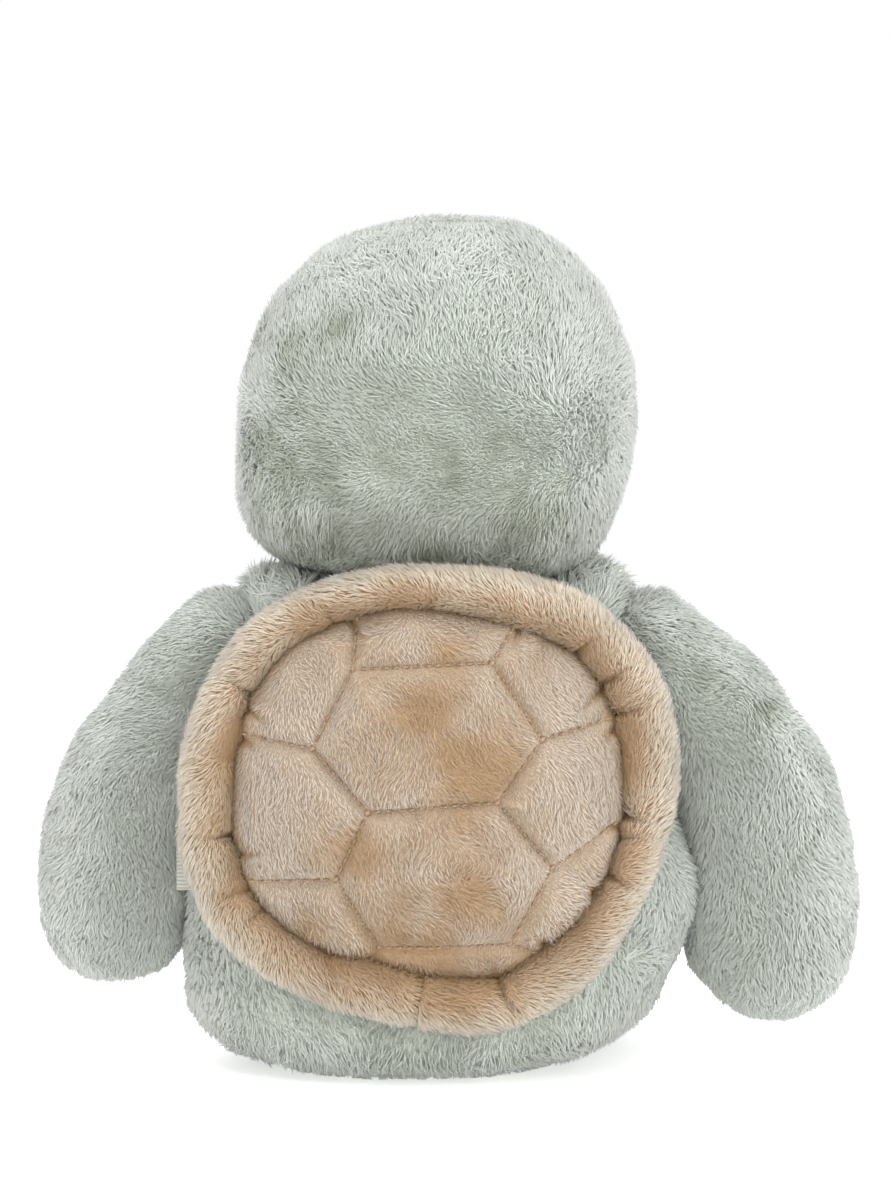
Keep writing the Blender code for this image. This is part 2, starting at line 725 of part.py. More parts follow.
def panel_outlines():
    """Each sewn panel of the shell as one closed list of points on its plan."""
    outlines = []
    for names in (UPPER_PANEL, LOWER_PANEL):
        outline = []
        for first, last in zip(names, names[1:] + names[:1]):
            outline += seam_line(first, last)
        outlines.append(outline)
    for names in EDGE_PANELS:
        outline = []
        for first, last in zip(names, names[1:]):
            outline += seam_line(first, last)
        end = names[-1]
        outline += ray_line(end)
        first_angle, last_angle = EDGE_ANGLES[end], EDGE_ANGLES[names[0]]
        if last_angle > first_angle:
            last_angle -= 360
        outline += split_edge(first_angle, last_angle, EDGE_STEPS)
        back = ray_line(names[0])[1:] + [edge_point(last_angle)]
        outlines.append(outline + back[::-1])
    return outlines


def shell_edge():
    """The points of the shell's edge, in order."""
    points = []
    angles = sorted(EDGE_ANGLES.values())
    for first, last in zip(angles, angles[1:] + [angles[0] + 360]):
        points += split_edge(last, first, EDGE_STEPS)[::-1]
    return points


def seam_ends():
    """The two ends of every sewn line of the shell."""
    ends = []
    for names in (UPPER_PANEL, LOWER_PANEL):
        for first, last in zip(names, names[1:] + names[:1]):
            ends.append((shell_point(*SHELL_SEAM_SHARES[first]),
                         shell_point(*SHELL_SEAM_SHARES[last])))
    for name, angle in EDGE_ANGLES.items():
        ends.append((shell_point(*SHELL_SEAM_SHARES[name]), edge_point(angle)))
    return ends


def seam_distance(point):
    """How far a place on the shell's plan is from the nearest sewn line."""
    distances = []
    for first, last in seam_ends():
        run = last - first
        part = max(0, min(1, (point - first).dot(run) / run.length_squared))
        distances.append((first + run * part - point).length)
    return min(distances)


def shell_out(point):
    """How far out a place on the shell's plan is, from 0 in its middle to 1 at its edge."""
    return min(1, (abs(point.x / SHELL_HALF_WIDTH) ** SHELL_SQUARENESS
                   + abs(point.z / SHELL_HALF_HEIGHT) ** SHELL_SQUARENESS)
               ** (1 / SHELL_SQUARENESS))


def smooth_height(point):
    """How far the shell would stand off its backing without its channels."""
    crown = (1 - shell_out(point) ** CROWN_POWER) ** CROWN_ROUNDNESS
    return SHELL_BULGE * (SHELL_EDGE_SHARE + (1 - SHELL_EDGE_SHARE) * crown)


def channel_depth(point):
    """How deep the channels draw the shell in at a place on its plan."""
    near = max(0, 1 - seam_distance(point) / CHANNEL_HALF_WIDTH)
    return CHANNEL_DEPTH * near * min(1, (1 - shell_out(point)) * CHANNEL_FADE)


def shell_normal(point):
    """The direction that the shell's top faces at a place on its plan, its channels left out."""
    step = CHANNEL_HALF_WIDTH / 2
    here = Vector((0, 1, 0))
    for axis in (Vector((step, 0, 0)), Vector((0, 0, step))):
        rise = smooth_height(point + axis) - smooth_height(point - axis)
        here -= axis * rise / (2 * step * step)
    return here.normalized()


def shell_layer(mesh, inset, foot_level, sunk=False):
    """One layer of the shell's quilted top, drawn in by inset, and its foot on a level.

    A sunk layer lies as low as the channels all over.
    """
    centre = Vector((0, shell_plane(), SHELL_HEIGHT))
    shrink = 1 - inset / SHELL_HALF_HEIGHT
    made = {}

    def vert_at(point):
        key = (round(point.x / GAP), round(point.z / GAP))
        if key not in made:
            drawn_in = CHANNEL_DEPTH if sunk else channel_depth(point)
            high = max(smooth_height(point) - drawn_in - inset, SHELL_BULGE * SHELL_FOOT_SHARE)
            made[key] = mesh.verts.new(
                centre + Vector((point.x * shrink, high, point.z * shrink)))
        return made[key]

    for outline in panel_outlines():
        middle = sum(outline, Vector()) / len(outline)
        seam, slope = [], []
        for point in outline:
            inward = middle - point
            step_in = min(CHANNEL_HALF_WIDTH / inward.length, 0.5)
            seam.append(vert_at(point))
            slope.append(vert_at(point + inward * step_in))
        join_rings(mesh, seam, slope)
        apex = vert_at(middle)
        for step, vert in enumerate(slope):
            mesh.faces.new((vert, slope[(step + 1) % len(slope)], apex))
    rim = [vert_at(point) for point in shell_edge()]
    foot = [mesh.verts.new((vert.co.x, foot_level, vert.co.z)) for vert in rim]
    join_rings(mesh, rim, foot)
    return foot


def shell_plane():
    """The plane of the shell's backing, on the flat of the body's back."""
    return BODY_Y + BODY_FLAT_BACK + GAP + BACKING_THICKNESS + GAP


def build_shell():
    """The quilted cushion, its stuffing, its backing and the threads in its channels."""
    level = shell_plane()
    mesh = bmesh.new()
    outer = shell_layer(mesh, 0, level)
    inner = shell_layer(mesh, SHELL_WALL, level)
    join_rings(mesh, outer, inner)
    place("shell_dome_cover", mesh, SAND)
    mesh = bmesh.new()
    mesh.faces.new(shell_layer(mesh, SHELL_WALL + GAP, level + GAP, True))
    place("shell_dome_stuffing", mesh, WADDING)
    build_backing()
    build_quilting()


def build_backing():
    """The flat panel that closes the shell and is sewn to the body's back."""
    mesh = bmesh.new()
    level = BODY_Y + BODY_FLAT_BACK + GAP
    rings = []
    for depth in (level, level + BACKING_THICKNESS):
        rings.append(add_ring(mesh, [
            edge_point(360 * step / RIM_STEPS) + Vector((0, depth, SHELL_HEIGHT))
            for step in range(RIM_STEPS)]))
    join_rings(mesh, rings[0], rings[1])
    mesh.faces.new(rings[0])
    mesh.faces.new(rings[1])
    place("shell_backing", mesh, TAN)


def build_quilting():
    """The threads: one loop round the upper panel, one run round the lower, and eight rays."""
    stand = THREAD_DIAMETER / 2 + QUILT_THREAD_ROOM

    def lay(points):
        centre = Vector((0, shell_plane(), SHELL_HEIGHT))
        return [centre + p + Vector((0, smooth_height(p) - channel_depth(p), 0))
                + shell_normal(p) * stand for p in points]

    back = Vector((0, 1, 0))
    upper = []
    for first, last in zip(UPPER_PANEL, UPPER_PANEL[1:] + UPPER_PANEL[:1]):
        upper += seam_line(first, last)
    run = lay(upper)
    thread("quilt_thread_upper", run, THREAD_DIAMETER, THREAD_BROWN, True,
           normals=[back] * len(run))
    lower = []
    for first, last in zip(LOWER_PANEL[1:], LOWER_PANEL[2:] + LOWER_PANEL[:1]):
        lower += seam_line(first, last)
    lower = trim_line(lower + [shell_point(*SHELL_SEAM_SHARES["middle_left"])], True, True)
    run = lay(lower)
    thread("quilt_thread_lower", run, THREAD_DIAMETER, THREAD_BROWN,
           normals=[back] * len(run))
    for number, name in enumerate(EDGE_ANGLES, start=1):
        ray = ray_line(name) + [edge_point(EDGE_ANGLES[name])]
        run = lay(trim_line(ray, True, True))
        thread(f"quilt_thread_ray_{number}", run, THREAD_DIAMETER, THREAD_BROWN,
               normals=[back] * len(run))


def trim_line(points, first, last):
    """Stop a line short of the threads that it runs up to."""
    points = list(points)
    room = THREAD_DIAMETER + 2 * GAP
    if first:
        points[0] = points[0] + (points[1] - points[0]).normalized() * room
    if last:
        points[-1] = points[-1] + (points[-2] - points[-1]).normalized() * room
    return points


def crease(angle):
    """How much the rim is drawn in at an angle by its nearest gather."""
    nearest = min(abs((angle - at + 180) % 360 - 180) for at in RIM_CREASE_ANGLES)
    return RIM_CREASE_SHARE * max(0, 1 - nearest / RIM_CREASE_WIDTH)


def rim_section(angle, inset):
    """One section of the rim's roll: its points from one lip of its slot round to the other."""
    edge = edge_point(angle)
    along = edge_point(angle + RIM_LOOK) - edge_point(angle - RIM_LOOK)
    outward = Vector((along.z, 0, -along.x)).normalized()
    level = shell_plane() + RIM_RADIUS + GAP - RIM_WRAP * (edge.x / SHELL_HALF_WIDTH) ** 2
    centre = edge + outward * (RIM_RADIUS + RIM_ROOM) + Vector((0, level, SHELL_HEIGHT))
    back = Vector((0, 1, 0))
    radius = RIM_RADIUS * (1 - crease(angle)) - inset
    points = []
    for step in range(RIM_SIDES + 1):
        share = RIM_SLOT_SHARE / 2 + (1 - RIM_SLOT_SHARE) * step / RIM_SIDES
        around = math.tau * share + math.radians(RIM_SLOT_ANGLE)
        points.append(centre + (outward * math.cos(around) + back * math.sin(around)) * radius)
    return points


def build_rim():
    """The stuffed roll round the shell: a strip that is open along its seam, and its stuffing."""
    mesh = bmesh.new()
    sections = []
    for step in range(RIM_STEPS):
        angle = 360 * step / RIM_STEPS
        loop = rim_section(angle, 0) + rim_section(angle, RIM_WALL)[::-1]
        sections.append(add_ring(mesh, loop))
    for step, section in enumerate(sections):
        join_rings(mesh, section, sections[(step + 1) % RIM_STEPS])
    place("shell_rim_cover", mesh, TAN)
    mesh = bmesh.new()
    sections = []
    for step in range(RIM_STEPS):
        loop = rim_section(360 * step / RIM_STEPS, RIM_WALL + GAP)
        sections.append(add_ring(mesh, loop))
    for step, section in enumerate(sections):
        join_rings(mesh, section, sections[(step + 1) % RIM_STEPS])
    place("shell_rim_stuffing", mesh, WADDING)


def build_belly(form):
    """The panel sewn on the belly, which follows the body's front."""
    mesh = bmesh.new()
    rows, columns = BELLY_ROWS, BELLY_COLUMNS
    layers = []
    for lift in (BELLY_STAND, BELLY_STAND + BELLY_THICKNESS):
        grid = []
        for row in range(rows):
            part = (row + 0.5) / rows
            where = form.place_at(BELLY_BOTTOM + (BELLY_TOP - BELLY_BOTTOM) * part)
            half = BELLY_ANGLE * math.sin(math.pi * part) ** BELLY_ROUNDNESS
            points = []
            for column in range(columns + 1):
                turn = math.radians(90 + half * (2 * column / columns - 1))
                points.append(form.surface(where, turn, lift)[0])
            grid.append(add_ring(mesh, points))
        layers.append(grid)
    for grid in layers:
        for low, high in zip(grid, grid[1:]):
            for column in range(columns):
                mesh.faces.new((low[column], low[column + 1], high[column + 1], high[column]))
    rims = [[*grid[0], *[row[-1] for row in grid[1:-1]], *reversed(grid[-1]),
             *[row[0] for row in reversed(grid[1:-1])]] for grid in layers]
    join_rings(mesh, rims[0], rims[1])
    place("belly_panel", mesh, SAND)


def build_label(form):
    """The blank woven label in the body's side seam, under the left arm."""
    where = form.place_at(LABEL_CENTRE_HEIGHT)
    half_width = form.stations[int(where)][4]
    share = (LABEL_Y - BODY_Y) / BODY_HALF_DEPTH
    start = half_width * (1 - share ** BODY_SQUARENESS) ** (1 / BODY_SQUARENESS) + GAP
    mesh = bmesh.new()
    middle = Vector(((start + LABEL_REACH) / 2, LABEL_Y, LABEL_CENTRE_HEIGHT))
    size = Matrix.Diagonal((LABEL_REACH - start, LABEL_THICKNESS, LABEL_HEIGHT, 1))
    bmesh.ops.create_cube(mesh, size=1, matrix=Matrix.Translation(middle) @ size)
    place("side_label", mesh, LINEN)


def main():
    clear_scene()
    neck = Vector((0, NECK_Y, NECK_HEIGHT))
    seats = [ball("neck_seat", neck, NECK_RADIUS + SEAM_ROOM)]
    for side, hand in (("left", 1), ("right", -1)):
        shoulder = Vector((SHOULDER_X * hand, SHOULDER_Y, SHOULDER_HEIGHT))
        hip = Vector((HIP_X * hand, HIP_Y, HIP_HEIGHT))
        seats.append(ball(f"shoulder_seat_{side}", shoulder, SHOULDER_RADIUS + SEAM_ROOM))
        seats.append(ball(f"hip_seat_{side}", hip, LEG_HALF_WIDTH + SEAM_ROOM))
        arm_pivot = pivot(f"arm_{side}_pivot", shoulder)
        length = ARM_LEFT_LENGTH if hand > 0 else ARM_RIGHT_LENGTH
        spread = ARM_LEFT_SPREAD if hand > 0 else ARM_RIGHT_SPREAD
        build_limb(f"arm_{side}", arm_form(hand, length, spread), arm_pivot)
        seam_ring(f"shoulder_seam_{side}", shoulder, SHOULDER_RADIUS, LEFT * -hand,
                  SHOULDER_SEAM_RADIUS, arm_pivot)
        leg_pivot = pivot(f"leg_{side}_pivot", hip)
        build_limb(f"leg_{side}", leg_form(hand), leg_pivot)
        seam_ring(f"hip_seam_{side}", hip, LEG_HALF_WIDTH, -FRONT, HIP_SEAM_RADIUS)
    head_pivot = pivot("head_pivot", neck)
    build_head(head_form(), head_pivot)
    seam_ring("neck_seam", neck, NECK_RADIUS, -UP, NECK_SEAM_RADIUS, head_pivot)
    body = body_form()
    build_body(body, seats)
    build_belly(body)
    build_label(body)
    build_shell()
    build_rim()


main()
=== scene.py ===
"""Looks of the plush turtle: brushed piles on padded skins, a quilted shell and its rolled rim."""
import math

import bmesh
import bpy
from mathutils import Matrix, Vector, noise


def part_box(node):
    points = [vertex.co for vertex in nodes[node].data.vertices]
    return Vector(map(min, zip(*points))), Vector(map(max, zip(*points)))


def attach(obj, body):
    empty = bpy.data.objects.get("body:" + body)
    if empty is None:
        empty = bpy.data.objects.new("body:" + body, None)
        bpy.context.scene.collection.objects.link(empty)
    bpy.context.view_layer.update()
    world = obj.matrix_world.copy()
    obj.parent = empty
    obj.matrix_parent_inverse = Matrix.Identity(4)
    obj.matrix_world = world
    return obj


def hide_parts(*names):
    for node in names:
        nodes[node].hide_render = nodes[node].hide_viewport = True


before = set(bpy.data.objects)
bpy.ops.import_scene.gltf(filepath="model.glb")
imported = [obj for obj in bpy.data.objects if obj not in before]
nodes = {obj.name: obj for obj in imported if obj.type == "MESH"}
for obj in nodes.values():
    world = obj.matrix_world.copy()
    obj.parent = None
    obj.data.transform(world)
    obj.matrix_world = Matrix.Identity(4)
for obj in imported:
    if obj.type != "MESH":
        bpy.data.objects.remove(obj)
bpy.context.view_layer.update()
scene = bpy.context.scene
# Without a seed of its own, noise_vector gives other piles in each run
noise.seed_set(7)

# The shell's sizes, in metres, as the part has them
SHELL_CENTRE = Vector((0.0018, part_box("shell_backing")[1].y + 0.0003, 0.0935))
SHELL_HALF_WIDTH = 0.058
SHELL_HALF_HEIGHT = 0.0565
SHELL_BULGE = 0.030
SHELL_EDGE_SHARE = 0.30
CROWN_POWER = 2.6
CROWN_ROUNDNESS = 0.62
RIM_HEIGHT = 0.0093
RIM_WRAP = 0.005
# How far the rim's two sides lie from the shell's centre, every 15 degrees, in millimetres
RIM_OUTSIDE = (77.6, 77.7, 77.4, 77.2, 74.5, 72.2, 71.0, 72.2, 75.6, 78.6, 79.6, 78.1, 75.9,
               73.6, 73.1, 75.0, 75.4, 75.2, 71.6, 70.6, 72.4, 75.7, 79.0, 79.3)
RIM_INSIDE = (59.9, 60.3, 62.4, 62.8, 61.0, 59.8, 58.4, 57.7, 59.2, 62.0, 61.0, 59.7, 58.4,
              58.2, 58.5, 58.2, 58.5, 57.6, 54.2, 53.2, 55.4, 59.0, 61.2, 60.8)
# Where the rim is gathered, and how deep
CREASES = {
    12: 0.3, 31: 1.5, 62: 0.5, 92: 0.3, 120: 0.3, 136: 0.9, 147: 1.5, 157: 1.2, 187: 1.5,
    191.5: 1.0, 204.5: 1.4, 249.5: 2.6, 300: 0.4, 326: 0.8, 335: 0.6, 350.5: 1.3,
}
# Where its two ends are sewn together
JOINT_ANGLE = 273.5
# Short folds at the edge of the quilted top: how far in they reach, in millimetres
DARTS = {26: 8, 17: 5, 66: 6, 118: 7, 148: 10, 343.5: 9, 189: 8, 160: 4, 210: 4, 232: 5}
# The corners of the quilted panels, as shares of the shell's half width and half height
PANEL_CORNERS = {
    "top_left": (0.41, 0.72), "top_right": (-0.33, 0.755), "right": (-0.60, 0.34),
    "middle_right": (-0.36, 0), "middle_left": (0.33, -0.055), "left": (0.625, 0.29),
    "low_right": (-0.655, -0.37), "bottom_right": (-0.43, -0.80),
    "bottom_left": (0.27, -0.825), "low_left": (0.50, -0.43),
}
UPPER_PANEL = ("top_left", "top_right", "right", "middle_right", "middle_left", "left")
LOWER_PANEL = ("middle_left", "middle_right", "low_right", "bottom_right", "bottom_left",
               "low_left")
# Where the seam from a corner meets the shell's edge
SEAM_ANGLES = {
    "top_left": 68, "top_right": 116, "right": 156, "low_right": 188,
    "bottom_right": 236, "bottom_left": 290, "low_left": 335, "left": 19,
}
DENSITY = 1
# A strand of the long pile: its length and width, how steep it stands in degrees, and how far
# it strays
LONG_PILE = {"length": 0.0050, "width": 0.00030, "stand": 27, "stray": 0.4}


# Nodes
def add(tree, kind, inputs=None, **settings):
    """One node of a tree: settings are its own, and inputs are values or links."""
    node = tree.nodes.new(kind)
    for name, value in settings.items():
        setattr(node, name, value)
    for name, value in (inputs or {}).items():
        if isinstance(value, bpy.types.NodeSocket):
            tree.links.new(value, node.inputs[name])
        else:
            node.inputs[name].default_value = value
    return node


def sums(tree, operation, first, second=0.0, third=0.0):
    """A number worked out by a Math node."""
    inputs = {0: first, 1: second, 2: third}
    return add(tree, "ShaderNodeMath", inputs, operation=operation).outputs[0]


def arrows(tree, operation, first, second=(0, 0, 0)):
    """An arrow worked out by a Vector Math node."""
    inputs = {0: first, 1: second}
    return add(tree, "ShaderNodeVectorMath", inputs, operation=operation).outputs["Vector"]


def dotted(tree, first, second):
    return add(tree, "ShaderNodeVectorMath", {0: first, 1: second},
               operation="DOT_PRODUCT").outputs["Value"]


def longer(tree, arrow, amount):
    return add(tree, "ShaderNodeVectorMath", {0: arrow, "Scale": amount},
               operation="SCALE").outputs["Vector"]


def new_tree(name, sockets):
    """A Geometry Nodes tree with named inputs, its input node and its output node."""
    tree = bpy.data.node_groups.new(name, "GeometryNodeTree")
    for label, kind in sockets:
        tree.interface.new_socket(label, in_out="INPUT", socket_type="NodeSocket" + kind)
    tree.interface.new_socket("Geometry", in_out="OUTPUT", socket_type="NodeSocketGeometry")
    given = tree.nodes.new("NodeGroupInput").outputs
    return tree, given, tree.nodes.new("NodeGroupOutput")


def carried(tree, name, kind="FLOAT"):
    return add(tree, "GeometryNodeInputNamedAttribute", {"Name": name},
               data_type=kind).outputs["Attribute"]


def pile_tree():
    """Strands that stand on a bed, combed along its comb attribute and drawn into locks."""
    tree, given, out = new_tree("brushed_pile", (
        ("Geometry", "Geometry"), ("Strands", "Float"), ("Length", "Float"),
        ("Width", "Float"), ("Stand", "Float"), ("Bend", "Float"), ("Swirl", "Float"),
        ("Stray", "Float"), ("Lock", "Float"), ("Seed", "Int"), ("Finish", "Material")))
    density = sums(tree, "MULTIPLY", carried(tree, "cover"), given["Strands"])
    spread = add(tree, "GeometryNodeDistributePointsOnFaces",
                 {"Mesh": given["Geometry"], "Density": density, "Seed": given["Seed"]})
    normal = spread.outputs["Normal"]
    place = add(tree, "GeometryNodeInputPosition").outputs[0]
    wish = carried(tree, "comb", "FLOAT_VECTOR")
    for share, strength in ((1, 1), (2.2, 0.7)):
        size = sums(tree, "DIVIDE", share, given["Lock"])
        eddy = add(tree, "ShaderNodeTexNoise", {"Vector": place, "Scale": size, "Detail": 2.0})
        turn = arrows(tree, "SUBTRACT", eddy.outputs["Color"], (0.5, 0.5, 0.5))
        reach = sums(tree, "MULTIPLY", given["Swirl"], strength)
        wish = arrows(tree, "ADD", wish, longer(tree, turn, reach))
    stray = add(tree, "FunctionNodeRandomValue",
                {"Min": (-1, -1, -1), "Max": (1, 1, 1), "Seed": 3},
                data_type="FLOAT_VECTOR").outputs["Value"]
    wish = arrows(tree, "ADD", wish, longer(tree, stray, given["Stray"]))
    sunk = longer(tree, normal, dotted(tree, wish, normal))
    flat = arrows(tree, "NORMALIZE", arrows(tree, "SUBTRACT", wish, sunk))
    chance = add(tree, "FunctionNodeRandomValue", {"Seed": 5}, data_type="FLOAT")
    chance = next(s for s in chance.outputs if s.enabled)
    angle = sums(tree, "MULTIPLY_ADD", chance, 0.35, given["Stand"])
    heading = arrows(tree, "ADD", longer(tree, flat, sums(tree, "COSINE", angle)),
                     longer(tree, normal, sums(tree, "SINE", angle)))
    turned = add(tree, "FunctionNodeAxesToRotation",
                 {"Primary Axis": heading, "Secondary Axis": normal},
                 primary_axis="Z", secondary_axis="X").outputs[0]
    size = sums(tree, "DIVIDE", 0.7, given["Lock"])
    tuft = add(tree, "ShaderNodeTexNoise", {"Vector": place, "Scale": size, "Detail": 3.0})
    tuft = tuft.outputs[0]
    share = sums(tree, "MULTIPLY_ADD", chance, 0.3, sums(tree, "MULTIPLY_ADD", tuft, 0.7, 0.5))
    long = sums(tree, "MULTIPLY", sums(tree, "MULTIPLY", given["Length"], share),
                carried(tree, "pile"))
    scale = add(tree, "ShaderNodeCombineXYZ",
                {"X": given["Width"], "Y": given["Width"], "Z": long}).outputs[0]
    tone = sums(tree, "MULTIPLY_ADD", chance, 0.45, sums(tree, "MULTIPLY", tuft, 0.55))
    points = add(tree, "GeometryNodeStoreNamedAttribute",
                 {"Geometry": spread.outputs["Points"], "Name": "tone", "Value": tone},
                 data_type="FLOAT", domain="POINT").outputs[0]
    points = add(tree, "GeometryNodeStoreNamedAttribute",
                 {"Geometry": points, "Name": "bed", "Value": normal},
                 data_type="FLOAT_VECTOR", domain="POINT").outputs[0]
    strand = strand_nodes(tree, given)
    grown = add(tree, "GeometryNodeInstanceOnPoints",
                {"Points": points, "Instance": strand, "Rotation": turned, "Scale": scale})
    real = add(tree, "GeometryNodeRealizeInstances", {"Geometry": grown.outputs[0]}).outputs[0]
    apart = add(tree, "ShaderNodeSeparateXYZ", {0: place}).outputs
    above = sums(tree, "MAXIMUM", apart[2], 0.0004)
    laid = add(tree, "ShaderNodeCombineXYZ", {"X": apart[0], "Y": apart[1], "Z": above})
    laid = add(tree, "GeometryNodeSetPosition", {"Geometry": real, "Position": laid.outputs[0]})
    done = add(tree, "GeometryNodeSetMaterial",
               {"Geometry": laid.outputs[0], "Material": given["Finish"]})
    tree.links.new(done.outputs[0], out.inputs[0])
    return tree


def strand_nodes(tree, given):
    """One strand, one unit long: a slim solid of four faces that is arched at its widest place."""
    solid = add(tree, "GeometryNodeMeshCone",
                {"Vertices": 3, "Radius Top": 0.0, "Radius Bottom": 1.0, "Depth": 1.0},
                fill_type="NGON").outputs[0]
    place = add(tree, "GeometryNodeInputPosition").outputs[0]
    apart = add(tree, "ShaderNodeSeparateXYZ", {0: place}).outputs
    wide = sums(tree, "LESS_THAN", apart[0], -0.25)
    along = sums(tree, "MULTIPLY_ADD", wide, 0.42, apart[2])
    noted = add(tree, "GeometryNodeStoreNamedAttribute",
                {"Geometry": solid, "Name": "along", "Value": along},
                data_type="FLOAT", domain="POINT").outputs[0]
    shaped = add(tree, "ShaderNodeCombineXYZ",
                 {"X": sums(tree, "MULTIPLY", wide, given["Bend"]),
                  "Y": sums(tree, "MULTIPLY", apart[1], -1.155), "Z": along})
    return add(tree, "GeometryNodeSetPosition",
               {"Geometry": noted, "Position": shaped.outputs[0]}).outputs[0]


def stitch_tree():
    """Short thick stitches, end to end along a line of edges."""
    tree, given, out = new_tree("hand_stitches", (
        ("Geometry", "Geometry"), ("Spacing", "Float"), ("Length", "Float"),
        ("Width", "Float"), ("Finish", "Material")))
    line = add(tree, "GeometryNodeMeshToCurve", {"Mesh": given["Geometry"]}).outputs[0]
    even = add(tree, "GeometryNodeResampleCurve",
               {"Curve": line, "Length": given["Spacing"]}, mode="LENGTH").outputs[0]
    tangent = add(tree, "GeometryNodeInputTangent").outputs[0]
    turned = add(tree, "FunctionNodeAlignRotationToVector", {"Vector": tangent},
                 axis="Z").outputs[0]
    ball = add(tree, "GeometryNodeMeshUVSphere", {"Segments": 8, "Rings": 6, "Radius": 0.5})
    scale = add(tree, "ShaderNodeCombineXYZ",
                {"X": given["Width"], "Y": given["Width"], "Z": given["Length"]}).outputs[0]
    sewn = add(tree, "GeometryNodeInstanceOnPoints",
               {"Points": even, "Instance": ball.outputs[0], "Rotation": turned,
                "Scale": scale})
    real = add(tree, "GeometryNodeRealizeInstances", {"Geometry": sewn.outputs[0]}).outputs[0]
    smooth = add(tree, "GeometryNodeSetShadeSmooth", {"Geometry": real}).outputs[0]
    done = add(tree, "GeometryNodeSetMaterial", {"Geometry": smooth, "Material": given["Finish"]})
    tree.links.new(done.outputs[0], out.inputs[0])
    return tree


# Finishes
def finish(name, roughness):
    """A new material, its nodes and its main shader."""
    material = bpy.data.materials.new(name)
    material.use_nodes = True
    tree = material.node_tree
    shader = tree.nodes["Principled BSDF"]
    shader.inputs["Roughness"].default_value = roughness
    shader.inputs["Specular IOR Level"].default_value = 0.2
    return material, tree, shader


def blend_of(tree, amount, first, second, kind="MIX"):
    node = add(tree, "ShaderNodeMix", data_type="RGBA", blend_type=kind)
    for socket, value in zip((node.inputs[0], node.inputs[6], node.inputs[7]),
                             (amount, first, second)):
        if isinstance(value, bpy.types.NodeSocket):
            tree.links.new(value, socket)
        else:
            socket.default_value = value
    return node.outputs[2]


def spread_of(tree, value, low, high, to_low=0.0, to_high=1.0):
    """A value moved smoothly from one range to another."""
    node = add(tree, "ShaderNodeMapRange",
               {"Value": value, "From Min": low, "From Max": high,
                "To Min": to_low, "To Max": to_high}, interpolation_type="SMOOTHSTEP")
    return node.outputs[0]


def speckle(tree, scale, detail=2.0):
    place = add(tree, "ShaderNodeTexCoord").outputs["Object"]
    return add(tree, "ShaderNodeTexNoise",
               {"Vector": place, "Scale": scale, "Detail": detail}).outputs[0]


def noted(tree, name):
    return add(tree, "ShaderNodeAttribute", attribute_name=name).outputs["Fac"]


def pile_finish(name, root, low, tip, brushed, sheen=0.25, soft=3.5):
    """Pile that is dark at its root and pale at its tip, drawn by its tint toward a darker colour
    for patches of another tone and for painted shade.

    Fine pile is lit more as the bed that it stands on than strand by strand: soft says how much.
    """
    material, tree, shader = finish(name, 0.85)
    along = noted(tree, "along")
    tone = noted(tree, "tone")
    body = blend_of(tree, tone, (*low, 1), (*tip, 1))
    height = spread_of(tree, along, 0.0, 0.75)
    colour = blend_of(tree, height, (*root, 1), body)
    # The tint draws the colour toward the darker one: patches of the pile's own tone, and painted
    # shade in its partings, creases, folds and grooves
    colour = blend_of(tree, noted(tree, "tint"), colour, (*brushed, 1))
    patch = spread_of(tree, speckle(tree, 45.0), 0.3, 0.7, 0.92, 1.06)
    shade = add(tree, "ShaderNodeCombineColor",
                {"Red": patch, "Green": patch, "Blue": patch}).outputs[0]
    colour = blend_of(tree, 1.0, colour, shade, "MULTIPLY")
    tree.links.new(colour, shader.inputs["Base Color"])
    bed = add(tree, "ShaderNodeAttribute", attribute_name="bed").outputs["Vector"]
    bed = add(tree, "ShaderNodeVectorTransform", {0: bed}, vector_type="NORMAL",
              convert_from="OBJECT", convert_to="WORLD").outputs[0]
    own = add(tree, "ShaderNodeNewGeometry").outputs["Normal"]
    blend = arrows(tree, "NORMALIZE", arrows(tree, "ADD", own, longer(tree, bed, soft)))
    tree.links.new(blend, shader.inputs["Normal"])
    shader.inputs["Sheen Weight"].default_value = sheen
    shader.inputs["Sheen Roughness"].default_value = 0.5
    shader.inputs["Subsurface Weight"].default_value = 0.7
    shader.inputs["Subsurface Radius"].default_value = (1, 1, 1)
    shader.inputs["Subsurface Scale"].default_value = 0.001
    return material


def skin_finish(name, dark, light, brushed=None):
    """The woven back of the pile, seen between its roots."""
    material, tree, shader = finish(name, 0.95)
    grain = spread_of(tree, speckle(tree, 900.0), 0.35, 0.65)
    colour = blend_of(tree, grain, (*dark, 1), (*light, 1))
    if brushed:
        # The tint draws the backing toward the darker colour: the quilted top's patches and
        # mottled tone, and painted shade in its folds, at its edge under the rim and on its low
        # band
        colour = blend_of(tree, noted(tree, "tint"), colour, (*brushed, 1))
    tree.links.new(colour, shader.inputs["Base Color"])
    bump = add(tree, "ShaderNodeBump",
               {"Strength": 0.6, "Distance": 0.0006, "Height": speckle(tree, 1400.0)})
    tree.links.new(bump.outputs[0], shader.inputs["Normal"])
    shader.inputs["Sheen Weight"].default_value = 0.2
    return material


def thread_finish(name, dark, light):
    """Twisted thread, with its ply as a fine slanting wave."""
    material, tree, shader = finish(name, 0.7)
    place = add(tree, "ShaderNodeTexCoord").outputs["Object"]
    ply = add(tree, "ShaderNodeTexWave", {"Vector": place, "Scale": 250.0, "Distortion": 2.0},
              bands_direction="DIAGONAL").outputs["Fac"]
    colour = blend_of(tree, ply, (*dark, 1), (*light, 1))
    tree.links.new(colour, shader.inputs["Base Color"])
    bump = add(tree, "ShaderNodeBump", {"Strength": 0.5, "Distance": 0.0002, "Height": ply})
    tree.links.new(bump.outputs[0], shader.inputs["Normal"])
    shader.inputs["Sheen Weight"].default_value = 0.15
    return material


